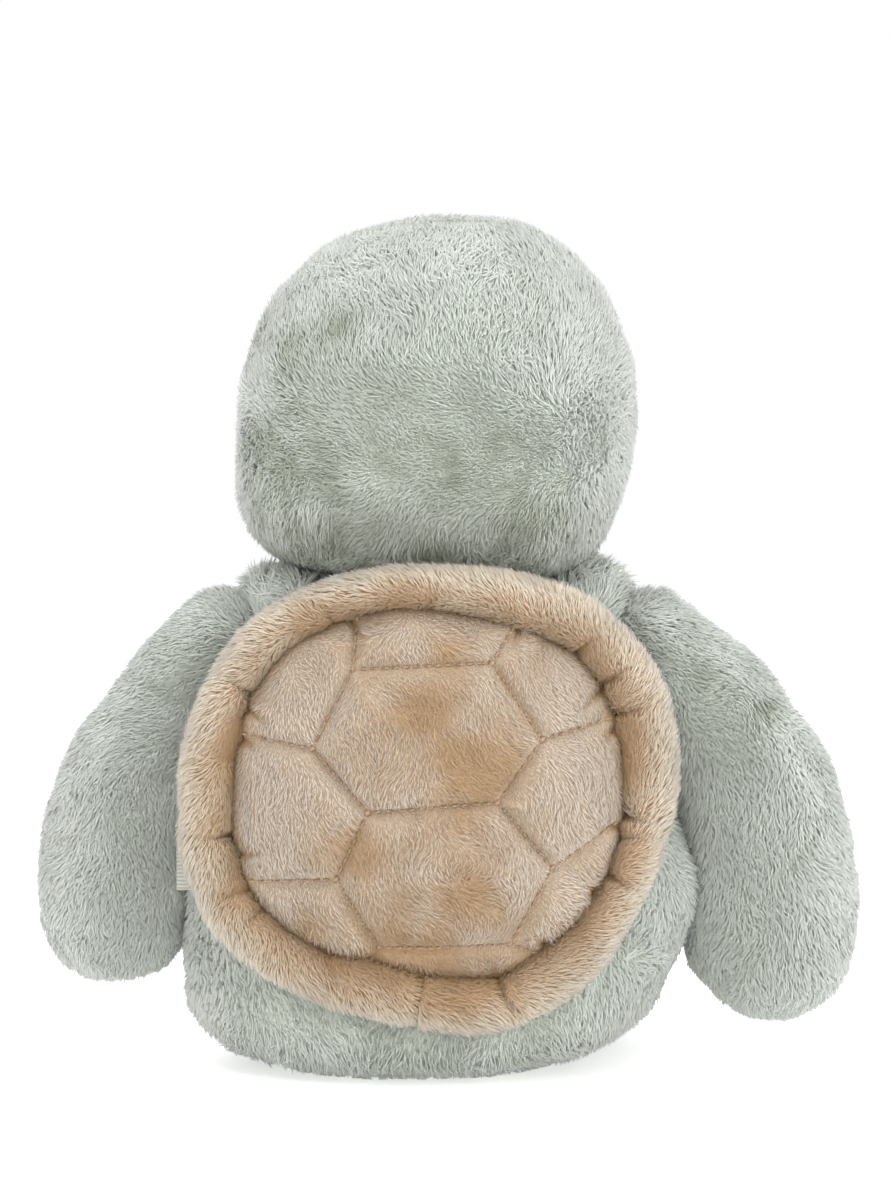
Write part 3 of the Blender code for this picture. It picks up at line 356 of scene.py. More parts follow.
def plastic_finish(name, roughness, dark, light, coat=0.0):
    """Moulded plastic, with the faint waves of its mould."""
    material, tree, shader = finish(name, roughness)
    wear = speckle(tree, 260.0)
    tree.links.new(blend_of(tree, wear, (*dark, 1), (*light, 1)), shader.inputs["Base Color"])
    bump = add(tree, "ShaderNodeBump", {"Strength": 0.08, "Distance": 0.0004, "Height": wear})
    tree.links.new(bump.outputs[0], shader.inputs["Normal"])
    shader.inputs["Specular IOR Level"].default_value = 0.6
    shader.inputs["Coat Weight"].default_value = coat
    return material


def ribbon_finish():
    """A plain woven ribbon with ribs across it."""
    material, tree, shader = finish("label_weave", 0.75)
    place = add(tree, "ShaderNodeTexCoord").outputs["Object"]
    ribs = add(tree, "ShaderNodeTexWave", {"Vector": place, "Scale": 260.0, "Distortion": 0.3},
               bands_direction="Z").outputs["Fac"]
    colour = blend_of(tree, ribs, (0.40, 0.39, 0.34, 1), (0.60, 0.59, 0.53, 1))
    tree.links.new(colour, shader.inputs["Base Color"])
    bump = add(tree, "ShaderNodeBump", {"Strength": 0.7, "Distance": 0.0003, "Height": ribs})
    tree.links.new(bump.outputs[0], shader.inputs["Normal"])
    return material


# Each pile's last colour, and the sand backing's last, is the darker colour its tint draws it
# toward: patches of another tone and mottling, and painted shade in partings, creases, folds,
# grooves and low bands
SAGE_PILE = pile_finish("sage_pile", (0.67, 0.735, 0.635), (0.68, 0.745, 0.65),
                        (0.785, 0.84, 0.755), (0.35, 0.39, 0.295), soft=4.5)
SAGE_SKIN = skin_finish("sage_backing", (0.64, 0.69, 0.60), (0.70, 0.75, 0.66))
TAN_PILE = pile_finish("tan_pile", (0.54, 0.34, 0.175), (0.81, 0.63, 0.42),
                       (0.94, 0.80, 0.605), (0.55, 0.32, 0.15), sheen=0.12)
TAN_SKIN = skin_finish("tan_backing", (0.46, 0.30, 0.18), (0.54, 0.36, 0.23))
SAND_PILE = pile_finish("sand_pile", (0.50, 0.37, 0.25), (0.69, 0.565, 0.44),
                        (0.83, 0.71, 0.58), (0.43, 0.25, 0.11), sheen=0.12)
SAND_SKIN = skin_finish("sand_backing", (0.44, 0.34, 0.25), (0.50, 0.40, 0.30),
                        (0.42, 0.28, 0.16))
BROWN_THREAD = thread_finish("quilting_thread", (0.30, 0.19, 0.105), (0.46, 0.315, 0.195))
SAGE_THREAD = thread_finish("closing_thread", (0.22, 0.26, 0.21), (0.36, 0.41, 0.34))
BLACK_THREAD = thread_finish("face_thread", (0.010, 0.009, 0.008), (0.035, 0.032, 0.030))
EYE_GLOSS = plastic_finish("eye_gloss", 0.12, (0.006, 0.005, 0.005), (0.014, 0.012, 0.011), 0.5)
LABEL_WEAVE = ribbon_finish()
WASHER = plastic_finish("washer_plastic", 0.4, (0.62, 0.62, 0.60), (0.74, 0.74, 0.72))
PILE_TREE = pile_tree()
STITCH_TREE = stitch_tree()


# Pieces
# The padded skins, in metres: the size of their faces, the padding over the stuffing, and how
# close to the floor they come
SKIN_GRAIN = 0.0028
PADDING = 0.0038
FLOOR_GAP = 0.0005
RELAX_ROUNDS = 6
MERGE_DISTANCE = 1e-5


def piece(name, mesh, body=None, material=None):
    """A new piece from a bmesh or a mesh, riding on a body if one is given."""
    if isinstance(mesh, bmesh.types.BMesh):
        data = bpy.data.meshes.new(name)
        mesh.to_mesh(data)
        mesh.free()
        mesh = data
    thing = bpy.data.objects.new(name, mesh)
    scene.collection.objects.link(thing)
    if material:
        mesh.materials.clear()
        mesh.materials.append(material)
    if body:
        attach(thing, body)
    return thing


def settled(thing):
    """Takes a piece's modifiers into its mesh."""
    shown = thing.evaluated_get(bpy.context.evaluated_depsgraph_get())
    mesh = bpy.data.meshes.new_from_object(shown)
    thing.modifiers.clear()
    thing.data = mesh
    return thing


def with_tree(thing, tree, values):
    """Gives a piece a Geometry Nodes modifier with its named inputs set."""
    modifier = thing.modifiers.new(tree.name, "NODES")
    modifier.node_group = tree
    for item in tree.interface.items_tree:
        if item.in_out == "INPUT" and item.name in values:
            modifier[item.identifier] = values[item.name]
    return settled(thing)


def padded_skin(name, body, sources, material, shape=None):
    """A closed padded skin round the stuffing of the part, even and smooth, with soft dents."""
    mesh = bmesh.new()
    for source in sources:
        mesh.from_mesh(nodes[source].data)
    bmesh.ops.remove_doubles(mesh, verts=mesh.verts, dist=MERGE_DISTANCE)
    skin = piece(name, mesh, body)
    remesh = skin.modifiers.new("even", "REMESH")
    remesh.mode = "VOXEL"
    remesh.voxel_size = SKIN_GRAIN
    relax = skin.modifiers.new("relax", "SMOOTH")
    relax.iterations = RELAX_ROUNDS
    settled(skin)
    moved = []
    for vert in skin.data.vertices:
        place, normal = vert.co.copy(), vert.normal.copy()
        dent = noise.noise(place * 28) * 0.0016 + noise.noise(place * 70) * 0.0006
        place = place + normal * (PADDING + dent)
        if shape:
            place = place + shape(place, normal)
        moved += (place.x, place.y, max(place.z, FLOOR_GAP))
    skin.data.vertices.foreach_set("co", moved)
    skin.data.update()
    skin.data.polygons.foreach_set("use_smooth", [True] * len(skin.data.polygons))
    skin.data.materials.clear()
    skin.data.materials.append(material)
    return skin


def groom(skin, comb, cover=None, pile=None, tint=None):
    """Notes on each corner of a skin how its pile lies, how thick, long and dark it is."""
    mesh = skin.data
    mesh.attributes.new("comb", "FLOAT_VECTOR", "POINT")
    rules = (("cover", cover, 1), ("pile", pile, 1), ("tint", tint, 0))
    for name, rule, usual in rules:
        mesh.attributes.new(name, "FLOAT", "POINT")
    lies = [comb(vert.co, vert.normal).normalized() for vert in mesh.vertices]
    mesh.attributes["comb"].data.foreach_set("vector", [part for way in lies for part in way])
    for name, rule, usual in rules:
        shares = [rule(vert.co, vert.normal) if rule else usual for vert in mesh.vertices]
        mesh.attributes[name].data.foreach_set("value", shares)


def grow(skin, body, material, slot, strands, length, width, stand, bend=6.0, swirl=1.6,
         stray=0.22, lock=0.006, coats=1):
    """Grows a skin's pile as one or more coats, each a piece of its own."""
    for coat in range(coats):
        pile = piece(f"{skin.name.replace('_skin', '')}_pile_{coat + 1}", skin.data.copy())
        area = sum(face.area for face in pile.data.polygons)
        with_tree(pile, PILE_TREE, {
            "Strands": strands * DENSITY / area / coats, "Length": length,
            "Width": width / 2, "Stand": math.radians(stand), "Bend": bend, "Swirl": swirl,
            "Stray": stray, "Lock": lock, "Seed": 11 + coat, "Finish": material})
        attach(pile, body)


# Shares, which go from 0 to 1
def clamp(value):
    return max(0.0, min(1.0, value))


def smooth(share):
    """Goes softly from 0 to 1 as a share does, and stays there."""
    share = clamp(share)
    return share * share * (3 - 2 * share)


def hill(distance, width, power=2):
    """Falls from 1 in the middle to almost 0 at two widths from it."""
    return math.exp(-abs(distance / width) ** power)


def pressed(place, patches, widen=1.0):
    """How near a place is to the middle of a patch, each given across, up and by its size."""
    return max(math.exp(-((place.x - x) ** 2 + (place.z - z) ** 2) / (widen * size) ** 2)
               for x, z, size in patches)


# The long pile's ways
def ruffled(way, place, *eddies):
    """The way that pile lies at a place, turned by eddies, each of a size and a strength."""
    for size, strength in eddies:
        way = way + noise.noise_vector(place / size) * strength
    return way


def parting(place):
    """How far the long pile has fallen apart, along winding lines with gaps in them."""
    line = max(0.0, 1 - abs(noise.noise(place * 24 + Vector((7, 2, 4)))) / 0.11)
    return line * clamp(0.45 + noise.noise(place * 15) * 1.8)


def hollows(place, normal):
    """Painted shade in the pile's partings, and a few darker patches of its own tone."""
    wide = noise.noise(place * 26 + Vector((7, 2, 4)))
    fine = noise.noise(place * 75)
    # The parting term is painted shade in the partings; the noise terms are the pile's own tone
    return clamp(parting(place) * 0.35 + wide * 0.4 + fine * 0.3 + 0.03)


def ragged(place):
    """How dark a brushed patch is at a place, uneven as pile is."""
    return 0.65 + noise.noise(place * 90) * 0.9 + noise.noise(place * 230) * 0.7


def fluff(place, normal=None):
    """The share of its full length that the long pile has at a place."""
    return 1 - 0.45 * parting(place) + noise.noise(place * 40) * 0.22


# Head
# Where the pile at the back of the head is pressed flat: across, up, and how wide
HEAD_PATCHES = (
    (0.048, 0.232, 0.008), (0.041, 0.211, 0.005), (0.053, 0.203, 0.006), (0.042, 0.198, 0.007),
    (0.034, 0.189, 0.007), (0.045, 0.182, 0.010), (0.037, 0.170, 0.012), (0.022, 0.170, 0.008),
    (0.012, 0.204, 0.006), (-0.022, 0.197, 0.007), (-0.034, 0.182, 0.009),
    (-0.026, 0.168, 0.010), (-0.004, 0.192, 0.007), (0.030, 0.238, 0.005),
    (0.002, 0.166, 0.008))
HEAD_PATCH_WIDENING = 1.4
# How much fuller the head is than its solid, and how flat it and the body are at the neck
CROWN_RISE = 0.0050
CHEEK_FULLNESS = 0.0036
CHEEK_HEIGHT = 0.215
NECK_RADIUS = 0.036
NECK_PRESS = 0.0028
# The bare ring at an eye, and the part of an eye's box that its pile starts from
EYE_CLEARING = 0.0062
EYE_RADIUS = 0.004


def centre_of(name):
    return sum(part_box(name), Vector()) / 2


def at_neck(place):
    return hill(math.hypot(place.x, place.y), NECK_RADIUS, 4)


def at_back(place):
    return clamp((place.y + 0.012) / 0.03)


def lean(place, normal):
    """The head's own lumps: fuller at its crown and cheeks, and flat where it meets the neck."""
    lump = noise.noise(place * 17 + Vector((3, 1, 5))) * 0.0022
    cheek = CHEEK_FULLNESS * abs(normal.x) * hill(place.z - CHEEK_HEIGHT, 0.034)
    under = clamp((0.168 - place.z) / 0.012) * at_neck(place)
    rise = clamp((place.z - 0.236) / 0.030)
    rise *= CROWN_RISE * hill(place.x + 0.006, 0.042, 4)
    return (normal * (lump * (1 - under) + cheek - NECK_PRESS * under)
            + Vector((0, 0, rise)))


def build_head():
    low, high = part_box("head_skin")
    middle = (low + high) / 2
    crown = Vector((middle.x, middle.y - 0.012, high.z + 0.006))
    eyes = [centre_of(f"eye_{side}") for side in ("left", "right")]
    mouth = centre_of("mouth_stitch")
    nose = (centre_of("nostril_left") + centre_of("nostril_right")) / 2

    def comb(place, normal):
        """Sideways at the back, up over its top and down at its foot, and outward in front."""
        top = clamp((place.z - 0.212) / 0.026)
        foot = clamp((0.196 - place.z) / 0.022)
        back = at_back(place)
        behind = Vector((1 - top - foot, 0, top - foot))
        face = (place - crown).normalized() + Vector((0, 0, -0.4))
        return ruffled(behind * back + face * (1 - back), place, (0.034, 0.9), (0.016, 0.6),
                       (0.008, 0.4))

    def shade(place, normal):
        """The pile's partings, the places where it is pressed flat at the back, and painted shade
        over the middle of the back.
        """
        if place.y < 0:
            return hollows(place, normal)
        flat = pressed(place, HEAD_PATCHES, HEAD_PATCH_WIDENING)
        # Painted shade: a broad darkening over the middle of the back of the head, broken up like
        # the pressed patches
        flat += 0.28 * math.exp(-(place.x / 0.036) ** 2 - ((place.z - 0.204) / 0.026) ** 2)
        return clamp(hollows(place, normal) + flat * ragged(place))

    def cover(place, normal):
        near = min((place - eye).length for eye in eyes)
        return 0.0 if near < EYE_CLEARING else 1.0

    def pile(place, normal):
        """Short round the eyes, the mouth and the nose, and shorter at the back where its tint is
        dark: its partings, its pressed patches and its painted shade.
        """
        eye_gap = min((place - eye).length - EYE_RADIUS for eye in eyes)
        face_gap = min((place - mouth).length * 1.1, (place - nose).length * 1.2)
        trimmed = max(0.22, min(1.0, eye_gap / 0.020, face_gap / 0.030 * 0.9))
        flat = shade(place, normal) if place.y > 0 else 0
        return (trimmed * (0.72 + 0.28 * at_back(place)) * fluff(place)
                * (1 - 0.35 * flat))

    skin = padded_skin("head_fur_skin", "head", ("head_stuffing",), SAGE_SKIN, shape=lean)
    groom(skin, comb, cover, pile, shade)
    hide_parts("head_skin", "head_stuffing")
    grow(skin, "head", SAGE_PILE, "sage_fur", 92000, **LONG_PILE, coats=2)


# Body
# How far the soft body differs from its solid: the seat slides to its left and spreads, the
# shoulders are pushed up and out beside the neck, and each side is fuller
SEAT_SLIDE = 0.0080
SEAT_SPREAD = 0.0032
SHOULDER_RISE = 0.0125
SHOULDER_SPREAD = 0.0055
RIGHT_FULLNESS = 0.0048
LEFT_FULLNESS = 0.0015
# How far past the inside of the rim the body has no pile
SHELL_MARGIN = 0.0042
# The share of the belly panel's size behind which the body has no pile
BELLY_SHARE = 0.93


def build_body():
    belly_low, belly_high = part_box("belly_panel")

    def at_top(place):
        return clamp((place.z - 0.126) / 0.018)

    def shoulders(place):
        return hill(abs(place.x) - 0.054, 0.020) * at_top(place)

    def comb(place, normal):
        lie = Vector((math.copysign(0.5, place.x), 0, 1.2)) * shoulders(place)
        return ruffled(Vector((0, 0, -0.8)) + lie, place, (0.035, 0.9), (0.016, 0.7),
                       (0.008, 0.4))

    def hidden(place):
        """Whether a place is behind the shell."""
        return place.y > 0.050 and shell_out(plan_of(place), SHELL_MARGIN) < 1

    def cover(place, normal):
        under = place.z < 0.004 and normal.z < -0.7
        across = place.x / (belly_high.x * BELLY_SHARE)
        up = ((place.z - (belly_low.z + belly_high.z) / 2)
              / ((belly_high.z - belly_low.z) / 2 * BELLY_SHARE))
        inner = place.y < 0 and Vector((across, 0, up)).length < 1
        return 0.0 if hidden(place) or inner else (0.35 if under else 1.0)

    def pile(place, normal):
        under = place.z < 0.006 and normal.z < -0.5
        return 0.45 if under else fluff(place) * (1 + 0.5 * shoulders(place))

    def slump(place, normal):
        """The seat has spread and slid a little to its left, and the shoulders are pushed up."""
        slid = SEAT_SLIDE * max(0.0, 1 - place.z / 0.065) ** 1.2
        spread = SEAT_SPREAD * hill(place.z - 0.018, 0.010)
        neck = at_neck(place) * at_top(place)
        out = math.copysign(SHOULDER_SPREAD * shoulders(place), place.x)
        full = RIGHT_FULLNESS if place.x < 0 else LEFT_FULLNESS
        full *= abs(normal.x) * hill(place.z - 0.062, 0.030)
        return (Vector((slid + out, 0, SHOULDER_RISE * shoulders(place)))
                + normal * (spread + full - NECK_PRESS * neck))

    skin = padded_skin("body_fur_skin", "body", ("pellet_bag", "body_stuffing"), SAGE_SKIN,
                       shape=slump)
    groom(skin, comb, cover, pile, hollows)
    skin.data.materials.append(TAN_SKIN)
    for face in skin.data.polygons:
        face.material_index = int(hidden(face.center))
    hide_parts("body_skin", "body_stuffing", "pellet_bag")
    grow(skin, "body", SAGE_PILE, "sage_fur", 80000, **LONG_PILE, coats=2)


# Limbs
# The parting at the back of the right arm: across, up, and how wide
ARM_PATCHES = ((-0.075, 0.133, 0.005), (-0.084, 0.129, 0.006), (-0.095, 0.124, 0.006),
               (-0.105, 0.118, 0.005), (-0.080, 0.141, 0.004))
# How much fuller each arm is outside than its solid
ARM_FULLNESS = {"left": 0.0008, "right": 0.0064}
SHOULDER_HEIGHT = 0.134


def build_arm(side, hand):
    body = f"arm_{side}"

    def comb(place, normal):
        """Outward over the shoulder, and down the arm below it."""
        down = clamp((SHOULDER_HEIGHT - place.z) / 0.05)
        along = Vector((hand * (1 - down), 0, -0.35 - down))
        return ruffled(along * 0.8, place, (0.030, 0.9), (0.015, 0.7), (0.008, 0.4))

    def sag(place, normal):
        """Rounds the arm off at its shoulder, where it meets the body, and fills it outside."""
        high = smooth((place.z - 0.128) / 0.028)
        rounded = -0.004 * high * smooth((place.x * hand - 0.064) / 0.024)
        facing = clamp(normal.x * hand + 0.7 * max(0.0, -normal.z))
        full = facing * smooth((0.150 - place.z) / 0.030)
        full *= ARM_FULLNESS[side]
        return Vector((rounded * hand, 0, 0)) + normal * full

    def shade(place, normal):
        """The pile's hollows, lightened low down as painted light, and the parting at the back of
        the right arm.
        """
        # Painted light: the lower arm is made paler, as if lit from the floor below
        pale = 0.4 * smooth((0.090 - place.z) / 0.050)
        if side == "left" or place.y < 0:
            return max(0.0, hollows(place, normal) - pale)
        flat = pressed(place, ARM_PATCHES)
        return clamp(hollows(place, normal) - pale + flat * ragged(place))

    skin = padded_skin(f"{body}_fur_skin", body, (f"{body}_stuffing",), SAGE_SKIN, shape=sag)
    groom(skin, comb, None, fluff, shade)
    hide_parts(f"{body}_skin", f"{body}_stuffing")
    grow(skin, body, SAGE_PILE, "sage_fur", 46000, **LONG_PILE)


def build_leg(side):
    body = f"leg_{side}"

    def comb(place, normal):
        return ruffled(Vector((0, -1, -0.5)), place, (0.030, 0.7), (0.014, 0.4))

    def pile(place, normal):
        return 0.45 if place.z < 0.006 and normal.z < -0.4 else fluff(place)

    skin = padded_skin(f"{body}_fur_skin", body, (f"{body}_stuffing",), SAGE_SKIN)
    groom(skin, comb, None, pile, hollows)
    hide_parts(f"{body}_skin", f"{body}_stuffing")
    grow(skin, body, SAGE_PILE, "sage_fur", 22000, **LONG_PILE)


# Belly
def build_belly():
    """The belly panel: a CAD sheet made finer, with pile on its outer face."""
    mesh = bmesh.new()
    mesh.from_mesh(nodes["belly_panel"].data)
    bmesh.ops.remove_doubles(mesh, verts=mesh.verts, dist=MERGE_DISTANCE)
    panel = piece("belly_fur_skin", mesh, "body", SAND_SKIN)
    finer = panel.modifiers.new("finer", "SUBSURF")
    finer.levels = finer.render_levels = 1
    settled(panel)
    axis = Vector((0, 0.020, 0))

    def comb(place, normal):
        return ruffled(Vector((0, 0, -1)), place, (0.030, 0.6), (0.012, 0.4))

    def cover(place, normal):
        out = place - axis
        out.z = 0
        return 1.0 if normal.dot(out.normalized()) > 0.2 else 0.0

    groom(panel, comb, cover)
    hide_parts("belly_panel")
    grow(panel, "body", SAND_PILE, "sand_plush", 26000, 0.0050, 0.00026, 24, bend=4.0, lock=0.004)


# Shell
# How far the quilted top is tucked under the rim
TUCK = 0.0022
# The quilting: how full its panels are, and how deep and wide its sewn channels
PILLOW = 0.0012
CHANNEL_DEPTH = 0.0034
CHANNEL_WIDTH = 0.0030
FOLD_DEPTH = 0.0030
FOLD_WIDTH = 0.0013
DOME_RINGS = 56
DOME_SPOKES = 360
# Where the quilted top is brushed dark, on its plan: across, up, and how wide
DOME_PATCHES = (
    (-0.012, 0.012, 0.012), (-0.022, 0.010, 0.009), (0.003, 0.031, 0.010),
    (0.013, -0.0385, 0.010), (0.001, -0.045, 0.008), (-0.011, -0.028, 0.010),
    (0.038, -0.038, 0.006), (0.022, -0.014, 0.007), (-0.004, 0.046, 0.007))
RIM_STEPS = 420
RIM_SIDES = 26


def outline(angle, table):
    """A distance from a table that goes once round, in metres, smooth between its places."""
    count = len(table)
    whole, part = divmod(angle % 360 / 360 * count, 1)
    before, here, there, after = (table[(int(whole) + step) % count] for step in (-1, 0, 1, 2))
    curve = (here + 0.5 * part * (there - before + part * (
        2 * before - 5 * here + 4 * there - after + part * (
            3 * (here - there) + after - before))))
    return curve / 1000


def towards(angle):
    turn = math.radians(angle)
    return Vector((math.cos(turn), 0, math.sin(turn)))


def bearing(plan):
    return math.degrees(math.atan2(plan.z, plan.x))


def turned_by(angle, start):
    """The turn from one angle to another, the shorter way round."""
    return (angle - start + 180) % 360 - 180


def plan_of(place):
    """A place on the shell's plan, seen from the shell's centre."""
    plan = place - SHELL_CENTRE
    plan.y = 0
    return plan


def on_shell(plan, height):
    return SHELL_CENTRE + plan + Vector((0, height, 0))


def edge_point(angle, further=TUCK):
    """A place on the edge of the quilted top, which is tucked a little under the rim."""
    return towards(angle) * (outline(angle, RIM_INSIDE) + further)


def shell_out(plan, further=TUCK):
    """How far out a place on the shell's plan is, from 0 in its middle to 1 at its edge."""
    return math.hypot(plan.x, plan.z) / (outline(bearing(plan), RIM_INSIDE) + further)


def panel_corner(name):
    across, up = PANEL_CORNERS[name]
    return Vector((across * SHELL_HALF_WIDTH, 0, up * SHELL_HALF_HEIGHT))


def seams():
    """The two ends of each sewn line of the shell's top, on its plan."""
    lines = {}
    for panel in (UPPER_PANEL, LOWER_PANEL):
        for first, last in zip(panel, panel[1:] + panel[:1]):
            lines[frozenset((first, last))] = (panel_corner(first), panel_corner(last))
    for name, angle in SEAM_ANGLES.items():
        lines[name] = (panel_corner(name), edge_point(angle, 0.0002))
    return list(lines.values())


SEAMS = seams()


def seam_distance(plan):
    nearest = 1.0
    for first, last in SEAMS:
        run = last - first
        part = max(0, min(1, (plan - first).dot(run) / run.length_squared))
        nearest = min(nearest, (first + run * part - plan).length)
    return nearest


def dome_height(plan):
    """How far the quilted top stands off its backing."""
    out = min(1, shell_out(plan))
    crown = (1 - out ** CROWN_POWER) ** CROWN_ROUNDNESS
    high = SHELL_BULGE * (SHELL_EDGE_SHARE + (1 - SHELL_EDGE_SHARE) * crown) - 0.0006
    near = seam_distance(plan)
    fade = min(1, (1 - out) * 9)
    pillow = PILLOW * min(1, near / 0.014) ** 0.7
    channel = CHANNEL_DEPTH * hill(near, CHANNEL_WIDTH, 1.3)
    turn = math.atan2(plan.z, plan.x)
    gather = noise.noise(Vector((math.cos(turn) * 4.5, math.sin(turn) * 4.5, 0.3)))
    gather = gather * 0.0022 * max(0, out - 0.62) / 0.38
    soft = noise.noise(plan * 45) * 0.0008
    return high + (pillow - channel) * fade + gather + soft - fold(plan)


def fold(plan):
    """How deep the folds at the edge of the quilted top are at a place on its plan."""
    angle = bearing(plan)
    reach = plan.length
    edge = outline(angle, RIM_INSIDE)
    deepest = 0.0
    for at, long in DARTS.items():
        aside = math.radians(turned_by(angle, at)) * reach
        along = clamp((reach - edge + long / 1000) / (long / 1000))
        deepest = max(deepest, FOLD_DEPTH * along * hill(aside, FOLD_WIDTH))
    return deepest


def faced_out(mesh):
    """Turns the faces of a bmesh outward and shades them smooth."""
    bmesh.ops.recalc_face_normals(mesh, faces=mesh.faces)
    for face in mesh.faces:
        face.smooth = True


def dome_mesh():
    """Rings of the quilted top, and three more that turn its edge down to the backing."""
    mesh = bmesh.new()
    centre = mesh.verts.new(on_shell(Vector(), dome_height(Vector())))
    loops = []
    for ring in range(1, DOME_RINGS + 1):
        share = math.sin(math.pi / 2 * ring / DOME_RINGS) ** 0.9
        loop = []
        for spoke in range(DOME_SPOKES):
            plan = edge_point(360 * spoke / DOME_SPOKES) * share
            loop.append(mesh.verts.new(on_shell(plan, dome_height(plan))))
        loops.append(loop)
    for depth in (0.7, 0.4, 0.05):
        loop = []
        for vert in loops[DOME_RINGS - 1]:
            plan = (vert.co - SHELL_CENTRE) * 0.985
            plan.y = (vert.co.y - SHELL_CENTRE.y) * depth
            loop.append(mesh.verts.new(SHELL_CENTRE + plan))
        loops.append(loop)
    for spoke in range(DOME_SPOKES):
        after = (spoke + 1) % DOME_SPOKES
        mesh.faces.new((centre, loops[0][after], loops[0][spoke]))
        for inner, outer in zip(loops, loops[1:]):
            mesh.faces.new((inner[spoke], inner[after], outer[after], outer[spoke]))
    bmesh.ops.contextual_create(mesh, geom=loops[-1])
    faced_out(mesh)
    return mesh


def build_dome():
    """The quilted top: pillowed panels between sewn channels, gathered at its edge."""
    dome = piece("shell_dome_skin", dome_mesh(), "body", SAND_SKIN)

    def at_edge(plan):
        return max(0.0, shell_out(plan) - 0.93) / 0.07

    def tint(place, normal):
        """Dark in its patches and down its middle, with painted shade in its folds, on its low
        band and where the rim lies over it.
        """
        plan = plan_of(place)
        mottle = noise.noise(place * 60) * 0.6 + noise.noise(place * 130) * 0.4
        middle = math.exp(-((plan.x / 0.036) ** 4 + (plan.z / 0.060) ** 4))
        # Painted shade on the low band, which curves under, away from the light
        low = 0.35 * clamp((-0.045 - plan.z) / 0.003)
        # Painted shade in the folds, at the edge under the rim and on the low band
        painted_shade = at_edge(plan) + (fold(plan) / 0.002 + low)
        return clamp(pressed(plan, DOME_PATCHES) * 0.85 + middle * 0.42 + mottle * 0.7
                     + painted_shade - 0.06)

    def comb(place, normal):
        return ruffled(Vector((-0.3, 0, -1)), place, (0.020, 1.4), (0.008, 0.7))

    def cover(place, normal):
        if normal.y < -0.5:
            return 0.0
        plan = plan_of(place)
        return 0.35 if seam_distance(plan) < 0.0010 else 1 - 0.7 * fold(plan) / FOLD_DEPTH

    def pile(place, normal):
        plan = plan_of(place)
        edge = (1 - 0.5 * at_edge(plan)) * (1 - 0.7 * fold(plan) / FOLD_DEPTH)
        return max(0.45, min(1.0, seam_distance(plan) / 0.004)) * edge

    groom(dome, comb, cover, pile, tint)
    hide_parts("shell_dome_cover", "shell_dome_stuffing")
    grow(dome, "body", SAND_PILE, "sand_plush", 48000, 0.0032, 0.00022, 16, bend=2.5,
         swirl=1.0, lock=0.003)


def build_stitches():
    """The thick thread of the quilting, in the channels of the shell's top."""
    mesh = bmesh.new()
    for first, last in SEAMS:
        steps = max(3, round((last - first).length / 0.0015))
        line = []
        for step in range(steps + 1):
            plan = first.lerp(last, step / steps)
            line.append(mesh.verts.new(on_shell(plan, dome_height(plan) + 0.0009)))
        for one, two in zip(line, line[1:]):
            mesh.edges.new((one, two))
    stitches = piece("quilt_stitches", mesh)
    with_tree(stitches, STITCH_TREE, {
        "Spacing": 0.0031, "Length": 0.0025, "Width": 0.0009, "Finish": BROWN_THREAD})
    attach(stitches, "body")
    threads = [name for name in nodes if name.startswith("quilt_thread")]
    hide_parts(*threads)


def drawn_in(angle, turn):
    """How far the rim is drawn in, at an angle of the shell and a turn round the rim's middle."""
    inner = (0.5 - 0.5 * math.cos(turn)) ** 1.4
    drawn = 0.7 * hill(turned_by(angle, JOINT_ANGLE), 0.9)
    for at, depth in CREASES.items():
        slant = math.sin(at * 3.7) * 2.2 * math.cos(turn)
        apart = turned_by(angle - at, slant)
        drawn += depth * (hill(apart, 1.1) + 0.35 * hill(apart, 4.5)) * inner
    return drawn


def rim_mesh():
    mesh = bmesh.new()
    loops = []
    for step in range(RIM_STEPS):
        angle = 360 * step / RIM_STEPS
        outside, inside = outline(angle, RIM_OUTSIDE), outline(angle, RIM_INSIDE)
        half = (outside - inside) / 2 - 0.0010
        ahead = edge_point(angle + 4) - edge_point(angle - 4)
        outward = Vector((ahead.z, 0, -ahead.x)).normalized()
        plan = towards(angle) * (outside + inside) / 2
        level = RIM_HEIGHT + 0.0003 - RIM_WRAP * (plan.x / SHELL_HALF_WIDTH) ** 2 / 1.7
        middle = on_shell(plan, level)
        loop = []
        for side in range(RIM_SIDES):
            turn = math.tau * side / RIM_SIDES
            way = (outward * math.cos(turn) * half
                   + Vector((0, 1, 0)) * math.sin(turn) * (RIM_HEIGHT - 0.0008))
            lump = noise.noise(middle * 55 + way * 60) * 0.07
            share = 1 - min(drawn_in(angle, turn) * 0.28, 0.36) + lump
            loop.append(mesh.verts.new(middle + way * max(share, 0.3)))
        loops.append(loop)
    for step, loop in enumerate(loops):
        after = loops[(step + 1) % RIM_STEPS]
        for side in range(RIM_SIDES):
            beside = (side + 1) % RIM_SIDES
            mesh.faces.new((loop[side], loop[beside], after[beside], after[side]))
    faced_out(mesh)
    return mesh


